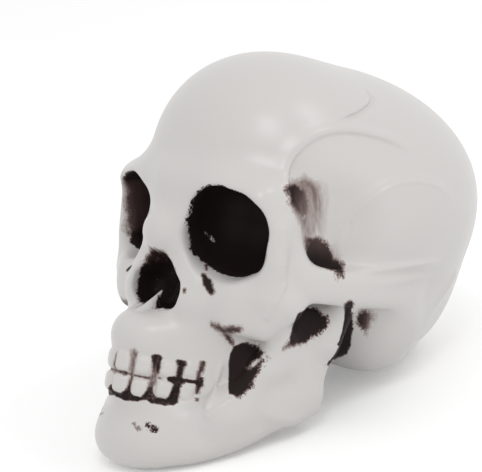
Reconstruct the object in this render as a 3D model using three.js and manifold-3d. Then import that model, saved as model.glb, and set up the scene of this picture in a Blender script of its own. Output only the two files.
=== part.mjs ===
// A hollow halloween skull decoration. It is moulded in glossy plastic as a left and a
// right shell, pinned together along the middle, with the jaw, the teeth and the cheek
// arches moulded in. It rests on its chin and on the back of its head.
//
// Millimetres, +Z up. The face looks along -Y and the skull's own left is +X. The skull is
// shaped upright, about the middle between the ears, and is then tipped back into its rest.
// Its surface is the zero level of one distance field, a sum of lobes, rods, ridges and
// hollows, and its inside is the level one wall deeper.

import * as THREE from 'three';
import Module from 'manifold-3d';
import { mergeVertices } from 'three/addons/utils/BufferGeometryUtils.js';

// Braincase
const braincaseWidth = 132;
const braincaseLength = 166;
const braincaseHeight = 134;

// Face: how much narrower it is than the braincase on each side, its depth from the ears
// forward to the incisors, and its height from the ears down to the chin
const faceInset = 16;
const faceWidth = braincaseWidth - 2 * faceInset;
const faceDepth = 103.2;
const faceHeight = 92;

// Eye sockets
const socketWidth = 41.8;
const socketHeight = 39;
const socketDepth = 52;
const socketCorner = 15;
const eyeRimThickness = 10;

// Nose: one of its two lobes at the top and at the bottom, and the bones round it
const noseTopWidth = 8.4;
const noseBottomWidth = 17.6;
const noseBridgeThickness = 14;
const noseSideThickness = 11;
const septumThickness = 7.2;

// Cheek bones and the arches that run back from them
const cheekEdgeThickness = 12;
const cheekArchInset = 1;
const cheekArchSpan = braincaseWidth - 2 * cheekArchInset;
const cheekArchLength = 76;
const cheekArchHeight = 16;
const cheekArchThickness = 9.2;
const cheekArchBow = 9;

// Tooth rows, on a bowed gum
const toothRowWidth = 65;
const toothRowDepth = 36;
const toothWidth = 9;
const toothHeight = 10.4;
const toothThickness = 6.8;
const toothRounding = 3.2;
const toothProud = 2.4;
const sideToothProud = 0.7;
const lowerToothSetback = 0.5;
const lowerGumStep = 1.2;
const chinHollow = 1.4;
const gumHeight = 44;
const gumReach = 42;

// Lower jaw
const jawBowWidth = 79;
const jawBowDepth = 58.5;
const jawHeight = 29.5;
const jawThickness = 20;
const jawLowerRise = 34.5;
const jawUpperRise = 17.5;
const jawNeckThickness = 13;
const jawBranchCorner = 10;

// Relief on the side of the braincase
const temporalStep = 1.8;
const temporalStepWidth = 2.2;
const temporalDishReach = 16;
const earPlateHeight = 1.5;
const earPlateEdgeWidth = 2;
const earPlateReach = 14;
const earRidgeHeight = 1;
const earRidgeWidth = 2.2;
const earRidgePitch = 6.8;

// Blends where two forms run into each other, from the broadest to the finest
const broadBlend = 12;
const fullBlend = 10;
const softBlend = 8;
const closeBlend = 6;
const tightBlend = 4;
const rimBlend = 3;
const lipBlend = 2.5;
const toothBlend = 0.8;

// Moulding: the wall, the seam between the shells and their locating pins
const wall = 3;
const seamGap = 0.3;
const pinDiameter = 3.2;
const pinLength = 4;
const pinClearance = 0.3;
const bossDiameter = 9;
const bossLength = 12;
const bossBite = 1.6;

// The small flats that the skull rests on are this deep
const restFlatDepth = 0.5;

// Mesh: spacing over the skull, over the teeth and in the hollow, and faces per shell
const skullSpacing = 2.5;
const toothSpacing = 1;
const hollowSpacing = 5;
const outsideFaces = 5700;
const insideFaces = 900;
const toothFaceWeight = 9;
const pinSides = 16;

// Every place and lobe below is given in shares of the braincase's or the face's spans
const braincaseSpans = [braincaseWidth / 2, braincaseLength / 2, braincaseHeight / 2];
const faceSpans = [faceWidth / 2, faceDepth, faceHeight];

// Braincase: middle and radii of each lobe
const vaultShares = { at: [0, -0.06, 0.537], size: [1, 1, 1] };
const foreheadShares = { at: [0, -0.482, 0.815], size: [0.798, 0.596, 0.71] };
const rearCrownShares = { at: [0, 0.193, 0.746], size: [0.909, 0.687, 0.687] };
const occiputShares = { at: [0, 0.337, 0.09], size: [0.712, 0.53, 0.612] };
const skullBaseShares = { at: [0.424, 0.181, -0.134], size: [0.409, 0.301, 0.388] };
const templeHollowShares = { at: [1.152, -0.554, 0.299], size: [0.364, 0.325, 0.493] };

// Face: middle and radii of each lobe, and the turns of those that lie askew, in degrees
const browShares = { at: [0.46, -0.649, 0.38], size: [0.6, 0.228, 0.141] };
const browMiddleShares = { at: [0, -0.698, 0.38], size: [0.28, 0.203, 0.141] };
const cheekShares = { at: [0.81, -0.651, -0.098], size: [0.34, 0.107, 0.152] };
const upperJawShares = { at: [0, -0.64, -0.152], size: [0.64, 0.228, 0.391] };
const upperGumShares = { at: [0, -0.814, -0.38], size: [0.35, 0.174, 0.109] };
const mouthFloorShares = { at: [0, -0.426, -0.337], size: [0.8, 0.417, 0.304] };
const chinShares = { at: [0, -0.814, -0.87], size: [0.39, 0.121, 0.12] };
const pocketFloorShares = { at: [0.7, -0.601, -0.663], size: [0.16, 0.116, 0.109] };
const noseTipShares = { at: [0, -0.838, 0.136], size: [0.25, 0.102, 0.114] };
const jawBranchShares = { at: [0.9, -0.368, -0.37], size: [0.12, 0.194, 0.348] };
const jawBranchTrimShares = { at: [0.9, -0.373, -0.37], size: [0.4, 0.17, 0.283] };
const cheekTurn = 40;
const mouthFloorTilt = 28;
const jawBranchTilt = -8;
const jawBranchTurn = -6;

// Face: points along each rod, and its radius at each point as shares of its thickness
const outerRimShares = {
  path: [[0.95, -0.738, 0.348], [1.064, -0.681, 0.239], [1.086, -0.657, 0.087], [1.024, -0.63, -0.065]],
  radii: [0.5, 0.5, 0.5, 0.65],
};
const rearRimShares = {
  path: [[0.91, -0.691, 0.391], [1.01, -0.613, 0.304], [1.04, -0.546, 0.152], [1.06, -0.514, 0.022]],
  radii: [0.4, 0.45, 0.45, 0.5],
};
const cheekEdgeShares = {
  path: [[0.48, -0.717, -0.152], [0.72, -0.688, -0.207], [0.94, -0.601, -0.217], [1.06, -0.533, -0.12]],
  radii: [0.58, 0.5, 0.5, 0.5],
};
const noseBridgeShares = { path: [[0, -0.775, 0.326], [0, -0.843, 0.174]], radii: [0.5, 0.464] };
const noseSideShares = { path: [[0.16, -0.795, 0.304], [0.37, -0.788, -0.152]], radii: [0.45, 0.55] };
const septumShares = { path: [[0, -0.862, -0.283], [0, -0.756, -0.12]], radii: [0.5, 0.15] };
const jawNeckShares = { path: [[0.96, -0.252, -0.239], [1.08, -0.223, -0.022]], radii: [0.5, 0.46] };
const pocketSlopeShares = { path: [[0.74, -0.581, -0.63], [0.87, -0.543, -0.435]], radii: [0.46, 0.31] };
const jawCrestShares = { path: [[0.9, -0.465, -0.37], [0.96, -0.504, -0.217]], radii: [0.46, 0.38] };

// Eye socket: its middle, the way it looks and its roll in degrees
const socketShares = { at: [0.646, -0.755, 0.199] };
const socketLook = [0.386, -0.87, -0.305];
const socketRoll = -8;

// Nose opening: the middles of its lobe's top and bottom, and how deep it reaches back
const noseLobeShares = { top: [0.052, 0, -0.007], bottom: [0.164, 0, -0.146] };
const noseFloorShare = -0.698;

// Cheek arch: its middle and its rise towards the rear
const cheekArchShares = { middle: -0.19, level: 0.036, slope: 0.06, squareness: 2.6 };

// Gum: how its bow grows along x, its middle and the step below the bite
const gumBowShares = { straight: 0.09, curved: 0.91 };
const gumShares = { middle: -0.824, level: -0.511, squareness: 2.6 };
const gumStepShares = { side: [0.246, 0.615], low: [-0.543, -0.609] };
const chinHollowShares = { low: [-0.674, -0.783] };

// Teeth, from the middle outwards: place along the bow, width, height and rise above the bite
const biteShare = -0.559;
const upperTeethShares = {
  along: [0.145, 0.403, 0.634, 0.797],
  width: [1, 0.933, 0.978, 0.844],
  height: [1, 0.885, 0.808, 0.846],
  rise: [0.5, 0.46, 0.48, 0.63],
};
const lowerTeethShares = {
  along: [0.145, 0.403, 0.634, 0.797],
  width: [1, 0.956, 0.978, 0.933],
  height: [0.942, 0.885, 0.865, 0.885],
  rise: [-0.48, -0.51, -0.385, -0.337],
};

// Lower jaw: where its bow starts, its underside at the chin, and how it thins and leans
const jawBowShares = { root: -0.271, chin: -0.989, rear: -0.194, thinning: 0.18, lean: 0.12 };
const jawCurveShares = { lower: 2.6, upper: 2, squareness: 2.5 };

// Relief, as shares of the braincase's half length and half height
const temporalLineShares = { at: [-0.337, 0.627], size: [0.458, 0.44], squareness: 2.4 };
const temporalFadeShares = { rear: [0.072, -0.265], low: [0.418, 0.657] };
const earPlateShares = { at: [0.024, 0.388], size: [0.458, 0.463], squareness: 2 };
const earPlateFadeShares = { rear: [0.337, 0.096], low: [0.209, 0.388], front: [-0.434, -0.241] };
const earPlateFrontShare = 0.5;
const earRidgeShares = { start: [-0.381, 0.169], slope: 0.23, front: [-0.434, -0.313], rear: [0.217, 0.048] };
const reliefFadeShares = { side: [0.455, 0.636] };

// Locating pins: the direction of each from the middle that it is sought from, in degrees
// from the rear towards the top, and the two middles
const pinAngles = { braincase: [-48, 12, 90, 148], jaw: [262] };
const pinMiddleShares = { braincase: [0, 0, 0.5], jaw: [0, -0.75, -0.45] };

// Searches: how far they reach, as a share of the skull's spans, and how often they halve
const searchShare = 1.5;
const searchRounds = 40;
const steepestPitch = 60;

// Grid: how many steps it reaches past the surface, and past the seam
const marginSteps = 3;
const nearSteps = 2;
const seamSteps = 2;
const countSlack = 1e-6;
const filledDepthShare = 0.25;

// The stretch with the teeth, above and below the bite, in tooth heights
const toothStretchShares = { top: 1.3, foot: 1.2 };

// Thinning: how far a point may move in edge lengths, the least turn of a face as a cosine,
// the least height of a face to its longest side, and two small shares for flat places
const moveShare = 2;
const leastTurnShare = 0.25;
const leastHeightShare = 0.05;
const flatShare = 1e-4;
const evennessShare = 1e-5;

// Materials
const shellColor = 0xd6d4ce;
const shellRoughness = 0.32;

const radians = (degrees) => THREE.MathUtils.degToRad(degrees);
const scaled = (shares, spans) => shares.map((share, axis) => share * spans[axis]);

// Smooth step from 0 at one value to 1 at the other
function ramp(value, from, to) {
  const t = Math.min(Math.max((value - from) / (to - from), 0), 1);
  return t * t * (3 - 2 * t);
}

// Blended union and cut of two distances
function join(a, b, blend) {
  const overlap = Math.max(blend - Math.abs(a - b), 0) / blend;
  return Math.min(a, b) - (overlap * overlap * blend) / 4;
}

function cut(a, b, blend) {
  return -join(-a, b, blend);
}

function overlapOf(a, b, blend) {
  return -join(-a, -b, blend);
}

// Rows of the matrix that takes the skull's axes to those of a form turned about X, then Z
function turnedRows(aboutX, aboutZ) {
  const matrix = new THREE.Matrix4().makeRotationX(-radians(aboutX));
  matrix.multiply(new THREE.Matrix4().makeRotationZ(-radians(aboutZ)));
  const e = matrix.elements;
  return [[e[0], e[4], e[8]], [e[1], e[5], e[9]], [e[2], e[6], e[10]]];
}

// Rows for a form whose third axis looks one way, rolled about it
function lookingRows(look, roll) {
  const third = new THREE.Vector3(...look).normalize();
  const first = new THREE.Vector3(0, 0, 1).cross(third).normalize();
  const second = third.clone().cross(first);
  const u = first.clone().applyAxisAngle(third, radians(roll));
  const v = second.clone().applyAxisAngle(third, radians(roll));
  return [u.toArray(), v.toArray(), third.toArray()];
}

const straightRows = turnedRows(0, 0);

// Distance to an ellipsoid
function lobe(shares, spans, rows = straightRows) {
  const [cx, cy, cz] = scaled(shares.at, spans);
  const [rx, ry, rz] = scaled(shares.size, spans);
  const [first, second, third] = rows;
  return (x, y, z) => {
    const dx = x - cx;
    const dy = y - cy;
    const dz = z - cz;
    const u = (first[0] * dx + first[1] * dy + first[2] * dz) / rx;
    const v = (second[0] * dx + second[1] * dy + second[2] * dz) / ry;
    const w = (third[0] * dx + third[1] * dy + third[2] * dz) / rz;
    const reach = Math.sqrt(u * u + v * v + w * w);
    const slope = Math.sqrt((u / rx) ** 2 + (v / ry) ** 2 + (w / rz) ** 2);
    return (reach * (reach - 1)) / Math.max(slope, Number.EPSILON);
  };
}

// Distance to a round rod that tapers along a few points
function rod(shares, spans, thickness) {
  const points = shares.path.map((point) => scaled(point, spans));
  const radii = shares.radii.map((share) => share * thickness);
  const spansOut = points.slice(1).map((end, i) => {
    const start = points[i];
    const way = [end[0] - start[0], end[1] - start[1], end[2] - start[2]];
    const square = way[0] ** 2 + way[1] ** 2 + way[2] ** 2;
    return { start, way, square, radius: radii[i], growth: radii[i + 1] - radii[i] };
  });
  return (x, y, z) => {
    let nearest = Infinity;
    for (const { start, way, square, radius, growth } of spansOut) {
      const dx = x - start[0];
      const dy = y - start[1];
      const dz = z - start[2];
      const along = (dx * way[0] + dy * way[1] + dz * way[2]) / square;
      const t = Math.min(Math.max(along, 0), 1);
      const off = Math.sqrt((dx - t * way[0]) ** 2 + (dy - t * way[1]) ** 2 + (dz - t * way[2]) ** 2);
      nearest = Math.min(nearest, off - radius - t * growth);
    }
    return nearest;
  };
}

// Distance to a block with round edges
function block(middle, halves, corner, rows = straightRows) {
  const [cx, cy, cz] = middle;
  const [hx, hy, hz] = halves.map((half) => half - corner);
  const [first, second, third] = rows;
  return (x, y, z) => {
    const dx = x - cx;
    const dy = y - cy;
    const dz = z - cz;
    const u = Math.abs(first[0] * dx + first[1] * dy + first[2] * dz) - hx;
    const v = Math.abs(second[0] * dx + second[1] * dy + second[2] * dz) - hy;
    const w = Math.abs(third[0] * dx + third[1] * dy + third[2] * dz) - hz;
    const outside = Math.sqrt(Math.max(u, 0) ** 2 + Math.max(v, 0) ** 2 + Math.max(w, 0) ** 2);
    return outside + Math.min(Math.max(u, v, w), 0) - corner;
  };
}

// Distance to a superellipse, whose squareness is 2 when it is a plain ellipse
function oval(u, v, halfWidth, halfHeight, squareness) {
  const reach = Math.abs(u / halfWidth) ** squareness + Math.abs(v / halfHeight) ** squareness;
  return (reach ** (1 / squareness) - 1) * Math.min(halfWidth, halfHeight);
}

// Braincase with the hollow of the temple
const vault = lobe(vaultShares, braincaseSpans);
const forehead = lobe(foreheadShares, braincaseSpans);
const rearCrown = lobe(rearCrownShares, braincaseSpans);
const occiput = lobe(occiputShares, braincaseSpans);
const skullBase = lobe(skullBaseShares, braincaseSpans);
const templeHollow = lobe(templeHollowShares, braincaseSpans);

function braincase(x, y, z) {
  let d = vault(x, y, z);
  d = join(d, forehead(x, y, z), fullBlend);
  d = join(d, rearCrown(x, y, z), fullBlend);
  d = join(d, occiput(x, y, z), broadBlend);
  return cut(d, templeHollow(x, y, z), fullBlend);
}

// A step that is sharp at an outline and dies away inside it
function stepInside(inside, edgeWidth, reach) {
  return ramp(inside, 0, edgeWidth) * Math.exp(-Math.max(inside, 0) / reach);
}

// Depth of the relief: the dish below the temporal line, the plate above the ear and the
// two ridges that run back from the cheek arch
function relief(x, y, z) {
  const [halfWidth, halfLength, halfHeight] = braincaseSpans;
  const side = x / halfWidth;
  if (side < reliefFadeShares.side[0]) return 0;
  const along = y / halfLength;
  const level = z / halfHeight;
  const ovalDepth = ({ at, size, squareness }) => -oval(
    y - at[0] * halfLength,
    z - at[1] * halfHeight,
    size[0] * halfLength,
    size[1] * halfHeight,
    squareness,
  );
  const dish = temporalStep
    * stepInside(ovalDepth(temporalLineShares), temporalStepWidth, temporalDishReach)
    * ramp(along, ...temporalFadeShares.rear)
    * ramp(level, ...temporalFadeShares.low);
  const plate = earPlateHeight
    * stepInside(ovalDepth(earPlateShares), earPlateEdgeWidth, earPlateReach)
    * ramp(along, ...earPlateFadeShares.rear)
    * ramp(level, ...earPlateFadeShares.low)
    * (earPlateFrontShare + (1 - earPlateFrontShare) * ramp(along, ...earPlateFadeShares.front));
  const ridgeStart = [earRidgeShares.start[0] * halfLength, earRidgeShares.start[1] * halfHeight];
  const aboveRidge = z - ridgeStart[1] - earRidgeShares.slope * (y - ridgeStart[0]);
  const upperRidge = Math.exp(-((aboveRidge / earRidgeWidth) ** 2));
  const lowerRidge = Math.exp(-(((aboveRidge + earRidgePitch) / earRidgeWidth) ** 2));
  const ridges = earRidgeHeight
    * (upperRidge + lowerRidge)
    * ramp(along, ...earRidgeShares.front)
    * ramp(along, ...earRidgeShares.rear);
  return (dish - plate - ridges) * ramp(side, ...reliefFadeShares.side);
}

// Brow, outer eye rim, cheek bone and nose bones
const brow = lobe(browShares, faceSpans);
const browMiddle = lobe(browMiddleShares, faceSpans);
const outerRim = rod(outerRimShares, faceSpans, eyeRimThickness);
const rearRim = rod(rearRimShares, faceSpans, eyeRimThickness);
const cheek = lobe(cheekShares, faceSpans, turnedRows(0, cheekTurn));
const cheekEdge = rod(cheekEdgeShares, faceSpans, cheekEdgeThickness);
const noseBridge = rod(noseBridgeShares, faceSpans, noseBridgeThickness);
const noseTip = lobe(noseTipShares, faceSpans);
const noseSide = rod(noseSideShares, faceSpans, noseSideThickness);
const upperJaw = lobe(upperJawShares, faceSpans);
const upperGum = lobe(upperGumShares, faceSpans);
const mouthFloor = lobe(mouthFloorShares, faceSpans, turnedRows(mouthFloorTilt, 0));

function cheekArch(x, y, z) {
  const behind = y - cheekArchShares.middle * faceDepth;
  const middleX = cheekArchSpan / 2 - cheekArchThickness / 2
    - cheekArchBow * (behind / (cheekArchLength / 2)) ** 2;
  const middleZ = cheekArchShares.level * faceHeight + cheekArchShares.slope * behind;
  const strip = oval(
    x - middleX,
    z - middleZ,
    cheekArchThickness / 2,
    cheekArchHeight / 2,
    cheekArchShares.squareness,
  );
  return overlapOf(strip, Math.abs(behind) - cheekArchLength / 2, softBlend);
}

// The front of the tooth row: its y, and its slope, at one x
function toothRowFront(x) {
  const share = x / (toothRowWidth / 2);
  return -faceDepth + toothRowDepth * share * (gumBowShares.straight + gumBowShares.curved * share);
}

function toothRowSlope(x) {
  const share = x / (toothRowWidth / 2);
  return (toothRowDepth / (toothRowWidth / 2)) * (gumBowShares.straight + 2 * gumBowShares.curved * share);
}

// The gum behind the teeth, set back further at the sides, below the bite and above the chin
function gum(x, y, z) {
  const level = z / faceHeight;
  const inset = toothProud
    + sideToothProud * ramp(x / (toothRowWidth / 2), ...gumStepShares.side)
    + lowerGumStep * ramp(level, ...gumStepShares.low)
    + chinHollow * ramp(level, ...chinHollowShares.low);
  const front = (toothRowFront(x) + inset - y) / Math.hypot(1, toothRowSlope(x));
  const bow = overlapOf(front, x - toothRowWidth / 2, closeBlend);
  const side = oval(
    y - gumShares.middle * faceDepth,
    z - gumShares.level * faceHeight,
    gumReach,
    gumHeight / 2,
    gumShares.squareness,
  );
  return overlapOf(bow, side, softBlend);
}

// Lower jaw: a bow that rises and thins towards the rear, with the chin and the branches
const chin = lobe(chinShares, faceSpans);
const jawBranchRows = turnedRows(jawBranchTilt, jawBranchTurn);
const jawBranch = lobe(jawBranchShares, faceSpans, jawBranchRows);
const jawBranchTrim = block(
  scaled(jawBranchTrimShares.at, faceSpans),
  scaled(jawBranchTrimShares.size, faceSpans),
  jawBranchCorner,
  jawBranchRows,
);
const jawNeck = rod(jawNeckShares, faceSpans, jawNeckThickness);
const jawCrest = rod(jawCrestShares, faceSpans, jawNeckThickness);
const pocketFloor = lobe(pocketFloorShares, faceSpans);
const pocketSlope = rod(pocketSlopeShares, faceSpans, jawNeckThickness);

function jawBow(x, y, z) {
  const halfWidth = jawBowWidth / 2;
  const sideways = x / halfWidth;
  const forwards = (jawBowShares.root * faceDepth - y) / jawBowDepth;
  const angle = Math.max(Math.atan2(sideways, forwards), 0);
  const share = Math.min(angle / (Math.PI / 2), 1);
  const chinLevel = jawBowShares.chin * faceHeight;
  const low = chinLevel + jawLowerRise * share ** jawCurveShares.lower;
  const high = chinLevel + jawHeight + jawUpperRise * share ** jawCurveShares.upper;
  const aboveMiddle = z - (low + high) / 2;
  const bowRadius = Math.hypot(halfWidth * Math.sin(angle), jawBowDepth * Math.cos(angle));
  const outwards = (Math.hypot(sideways, forwards) - 1) * bowRadius
    + aboveMiddle * jawBowShares.lean * (1 - share);
  const halfThickness = (jawThickness / 2) * (1 - jawBowShares.thinning * share);
  const section = oval(outwards, aboveMiddle, halfThickness, (high - low) / 2, jawCurveShares.squareness);
  return overlapOf(section, y - jawBowShares.rear * faceDepth, closeBlend);
}

function lowerJaw(x, y, z) {
  const branch = overlapOf(jawBranch(x, y, z), jawBranchTrim(x, y, z), rimBlend);
  const rear = join(join(branch, jawNeck(x, y, z), softBlend), jawCrest(x, y, z), softBlend);
  return join(join(jawBow(x, y, z), chin(x, y, z), softBlend), rear, softBlend);
}

// Eye socket and nose opening, which are cut into the face
const socket = block(
  scaled(socketShares.at, faceSpans),
  [socketWidth / 2, socketHeight / 2, socketDepth / 2],
  socketCorner,
  lookingRows(socketLook, socketRoll),
);
const noseLobe = rod(
  {
    path: [noseLobeShares.top, noseLobeShares.bottom],
    radii: [noseTopWidth / noseBottomWidth / 2, 0.5],
  },
  faceSpans,
  noseBottomWidth,
);
const septum = rod(septumShares, faceSpans, septumThickness);

function noseOpening(x, y, z) {
  return overlapOf(noseLobe(x, 0, z), y - noseFloorShare * faceDepth, softBlend);
}

// One row of teeth, as blocks with round edges that stand on the bow
function toothRow(rowShares, setback) {
  return rowShares.along.map((share, i) => {
    const x = (share * toothRowWidth) / 2;
    const slope = toothRowSlope(x);
    const depth = toothThickness / 2 + setback;
    const inwards = [-slope / Math.hypot(1, slope), 1 / Math.hypot(1, slope)];
    const middle = [
      x + depth * inwards[0],
      toothRowFront(x) + depth * inwards[1],
      biteShare * faceHeight + rowShares.rise[i] * toothHeight,
    ];
    const halves = [
      (rowShares.width[i] * toothWidth) / 2,
      toothThickness / 2,
      (rowShares.height[i] * toothHeight) / 2,
    ];
    return block(middle, halves, toothRounding, turnedRows(0, THREE.MathUtils.radToDeg(Math.atan(slope))));
  });
}

const teeth = [...toothRow(upperTeethShares, 0), ...toothRow(lowerTeethShares, lowerToothSetback)];

// Signed distance to the outside of the whole skull, negative inside
function skull(signedX, y, z) {
  const x = Math.abs(signedX);
  let d = braincase(x, y, z);
  d = join(d, brow(x, y, z), fullBlend);
  d = join(d, browMiddle(x, y, z), fullBlend);
  d = join(d, join(outerRim(x, y, z), rearRim(x, y, z), fullBlend), softBlend);
  d += relief(x, y, z);
  d = join(d, cheek(x, y, z), softBlend);
  d = join(d, cheekEdge(x, y, z), softBlend);
  d = join(d, cheekArch(x, y, z), closeBlend);
  d = join(d, upperJaw(x, y, z), fullBlend);
  d = join(d, gum(x, y, z), softBlend);
  d = join(d, upperGum(x, y, z), softBlend);
  d = join(d, join(noseBridge(x, y, z), noseTip(x, y, z), closeBlend), softBlend);
  d = join(d, noseSide(x, y, z), softBlend);
  d = join(d, mouthFloor(x, y, z), softBlend);
  d = join(d, lowerJaw(x, y, z), tightBlend);
  d = join(d, pocketFloor(x, y, z), softBlend);
  d = join(d, pocketSlope(x, y, z), softBlend);
  d = join(d, skullBase(x, y, z), broadBlend);
  d = cut(d, socket(x, y, z), rimBlend);
  d = cut(d, noseOpening(x, y, z), lipBlend);
  d = join(d, septum(x, y, z), lipBlend);
  for (const tooth of teeth) {
    d = join(d, tooth(x, y, z), toothBlend);
  }
  return d;
}

const hollow = (x, y, z) => skull(x, y, z) + wall;

// Lines of a grid between two ends, close together in one stretch
function gridLines(from, to, spacing, fineFrom = to, fineTo = to, fineSpacing = spacing) {
  const stretches = [[from, fineFrom, spacing], [fineFrom, fineTo, fineSpacing], [fineTo, to, spacing]];
  const lines = [from];
  for (const [start, end, step] of stretches) {
    const count = Math.ceil((end - start) / step - countSlack);
    for (let i = 1; i <= count; i += 1) {
      lines.push(start + ((end - start) * i) / count);
    }
  }
  return lines;
}

// Box round everything that a field holds, found on a loose grid over a wide reach
function boxOf(field, spacing) {
  const reach = searchShare * Math.max(braincaseLength, faceDepth, faceHeight, braincaseHeight);
  const margin = marginSteps * spacing;
  const lines = gridLines(-reach, reach, margin);
  const low = [Infinity, Infinity, Infinity];
  const high = [-Infinity, -Infinity, -Infinity];
  for (const x of lines.filter((value) => value >= 0)) {
    for (const y of lines) {
      for (const z of lines) {
        if (field(x, y, z) > nearSteps * spacing) continue;
        [x, y, z].forEach((value, axis) => {
          low[axis] = Math.min(low[axis], value - margin);
          high[axis] = Math.max(high[axis], value + margin);
        });
      }
    }
  }
  low[0] = -seamSteps * spacing;
  return { low, high };
}

// Corner numbers of a cell: bit 0 is its step along x, bit 1 along y and bit 2 along z
const cellEdges = [];
for (let corner = 0; corner < 8; corner += 1) {
  for (const bit of [1, 2, 4]) {
    if (!(corner & bit)) cellEdges.push([corner, corner | bit]);
  }
}

// True where the inner corners of a cell hang together and so do the outer ones
function isPlainCell(pattern) {
  for (const inner of [true, false]) {
    const members = [0, 1, 2, 3, 4, 5, 6, 7].filter((corner) => Boolean(pattern & (1 << corner)) === inner);
    const reached = new Set(members.slice(0, 1));
    for (let round = 0; round < members.length; round += 1) {
      for (const [a, b] of cellEdges) {
        if (!members.includes(a) || !members.includes(b)) continue;
        if (reached.has(a) || reached.has(b)) {
          reached.add(a);
          reached.add(b);
        }
      }
    }
    if (reached.size !== members.length) return false;
  }
  return true;
}

const plainCell = Array.from({ length: 256 }, (_, pattern) => isPlainCell(pattern));

// Field values on a grid, with the side at the seam closed and every cell made plain
function sampleField(field, lines) {
  const [nx, ny, nz] = lines.map((line) => line.length);
  const strides = [1, nx, nx * ny];
  const values = new Float64Array(nx * ny * nz);
  for (let k = 0; k < nz; k += 1) {
    for (let j = 0; j < ny; j += 1) {
      for (let i = 0; i < nx; i += 1) {
        const value = field(lines[0][i], lines[1][j], lines[2][k]);
        values[i + j * nx + k * nx * ny] = i === 0 ? Math.abs(value) : value;
      }
    }
  }
  const corners = [0, 1, 2, 3, 4, 5, 6, 7].map(
    (corner) => (corner & 1) * strides[0] + ((corner >> 1) & 1) * strides[1] + (corner >> 2) * strides[2],
  );
  const grid = { lines, sizes: [nx, ny, nz], strides, values, corners };
  fillUnreached(grid);
  makeCellsPlain(grid);
  return grid;
}

// Only the inner space that reaches the seam is kept, so that nothing is sealed in
function fillUnreached({ sizes: [nx, ny, nz], strides, values }) {
  const reached = new Uint8Array(values.length);
  const open = [];
  for (let index = 1; index < values.length; index += nx) {
    if (values[index] < 0) {
      reached[index] = 1;
      open.push(index);
    }
  }
  while (open.length) {
    const index = open.pop();
    for (const stride of strides) {
      for (const next of [index - stride, index + stride]) {
        if (next >= 0 && next < nx * ny * nz && values[next] < 0 && !reached[next]) {
          reached[next] = 1;
          open.push(next);
        }
      }
    }
  }
  for (let index = 0; index < values.length; index += 1) {
    if (values[index] < 0 && !reached[index]) values[index] = -values[index];
  }
}

function patternOf(values, base, corners) {
  let pattern = 0;
  for (let corner = 0; corner < 8; corner += 1) {
    if (values[base + corners[corner]] < 0) pattern |= 1 << corner;
  }
  return pattern;
}

// Where a cell's corners don't hang together, its outer corner nearest to the surface is
// taken inside, until one sheet of surface at most runs through each cell
function makeCellsPlain({ sizes: [nx, ny, nz], values, corners }) {
  let changed = true;
  while (changed) {
    changed = false;
    for (let k = 0; k < nz - 1; k += 1) {
      for (let j = 0; j < ny - 1; j += 1) {
        for (let i = 0; i < nx - 1; i += 1) {
          const base = i + j * nx + k * nx * ny;
          if (plainCell[patternOf(values, base, corners)]) continue;
          const outer = corners.map((offset) => base + offset).filter((index) => values[index] >= 0);
          const nearest = outer.reduce((a, b) => (values[a] <= values[b] ? a : b));
          values[nearest] = -Math.max(values[nearest], Number.EPSILON) * filledDepthShare;
          changed = true;
        }
      }
    }
  }
}

// Closed mesh of the zero level: one point in each cell that it runs through, and one
// square round each grid edge that it crosses
function surfaceOf(field, lines) {
  const grid = sampleField(field, lines);
  const { sizes: [nx, ny, nz], strides, values, corners } = grid;
  const pointOfCell = new Int32Array(values.length).fill(-1);
  const points = [];
  const faces = [];
  for (let k = 0; k < nz - 1; k += 1) {
    for (let j = 0; j < ny - 1; j += 1) {
      for (let i = 0; i < nx - 1; i += 1) {
        const base = i + j * nx + k * nx * ny;
        const pattern = patternOf(values, base, corners);
        if (pattern === 0 || pattern === 255) continue;
        pointOfCell[base] = points.length;
        points.push(middleOfCrossings(grid, base, [i, j, k]));
      }
    }
  }
  for (let k = 1; k < nz - 1; k += 1) {
    for (let j = 1; j < ny - 1; j += 1) {
      for (let i = 0; i < nx - 1; i += 1) {
        const base = i + j * nx + k * nx * ny;
        for (let axis = 0; axis < 3; axis += 1) {
          const startInside = values[base] < 0;
          if (startInside === values[base + strides[axis]] < 0) continue;
          const u = strides[(axis + 1) % 3];
          const v = strides[(axis + 2) % 3];
          const ring = [base, base - u, base - u - v, base - v].map((cell) => pointOfCell[cell]);
          if (!startInside) ring.reverse();
          faces.push(...splitSquare(points, ring));
        }
      }
    }
  }
  return { points, faces };
}

function middleOfCrossings({ lines, values, corners }, base, cell) {
  const sum = [0, 0, 0];
  let crossings = 0;
  for (const [a, b] of cellEdges) {
    const start = values[base + corners[a]];
    const end = values[base + corners[b]];
    if (start < 0 === end < 0) continue;
    const t = start / (start - end);
    for (let axis = 0; axis < 3; axis += 1) {
      const line = lines[axis];
      const from = line[cell[axis] + ((a >> axis) & 1)];
      const to = line[cell[axis] + ((b >> axis) & 1)];
      sum[axis] += from + t * (to - from);
    }
    crossings += 1;
  }
  return sum.map((total) => total / crossings);
}

function splitSquare(points, [a, b, c, d]) {
  const distance = (p, q) => Math.hypot(...points[p].map((value, axis) => value - points[q][axis]));
  return distance(a, c) < distance(b, d) ? [[a, b, c], [a, c, d]] : [[a, b, d], [b, c, d]];
}

// Vector helpers for the thinning
const minus = (a, b) => [a[0] - b[0], a[1] - b[1], a[2] - b[2]];
const dot = (a, b) => a[0] * b[0] + a[1] * b[1] + a[2] * b[2];
const cross = (a, b) => [
  a[1] * b[2] - a[2] * b[1],
  a[2] * b[0] - a[0] * b[2],
  a[0] * b[1] - a[1] * b[0],
];

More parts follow.
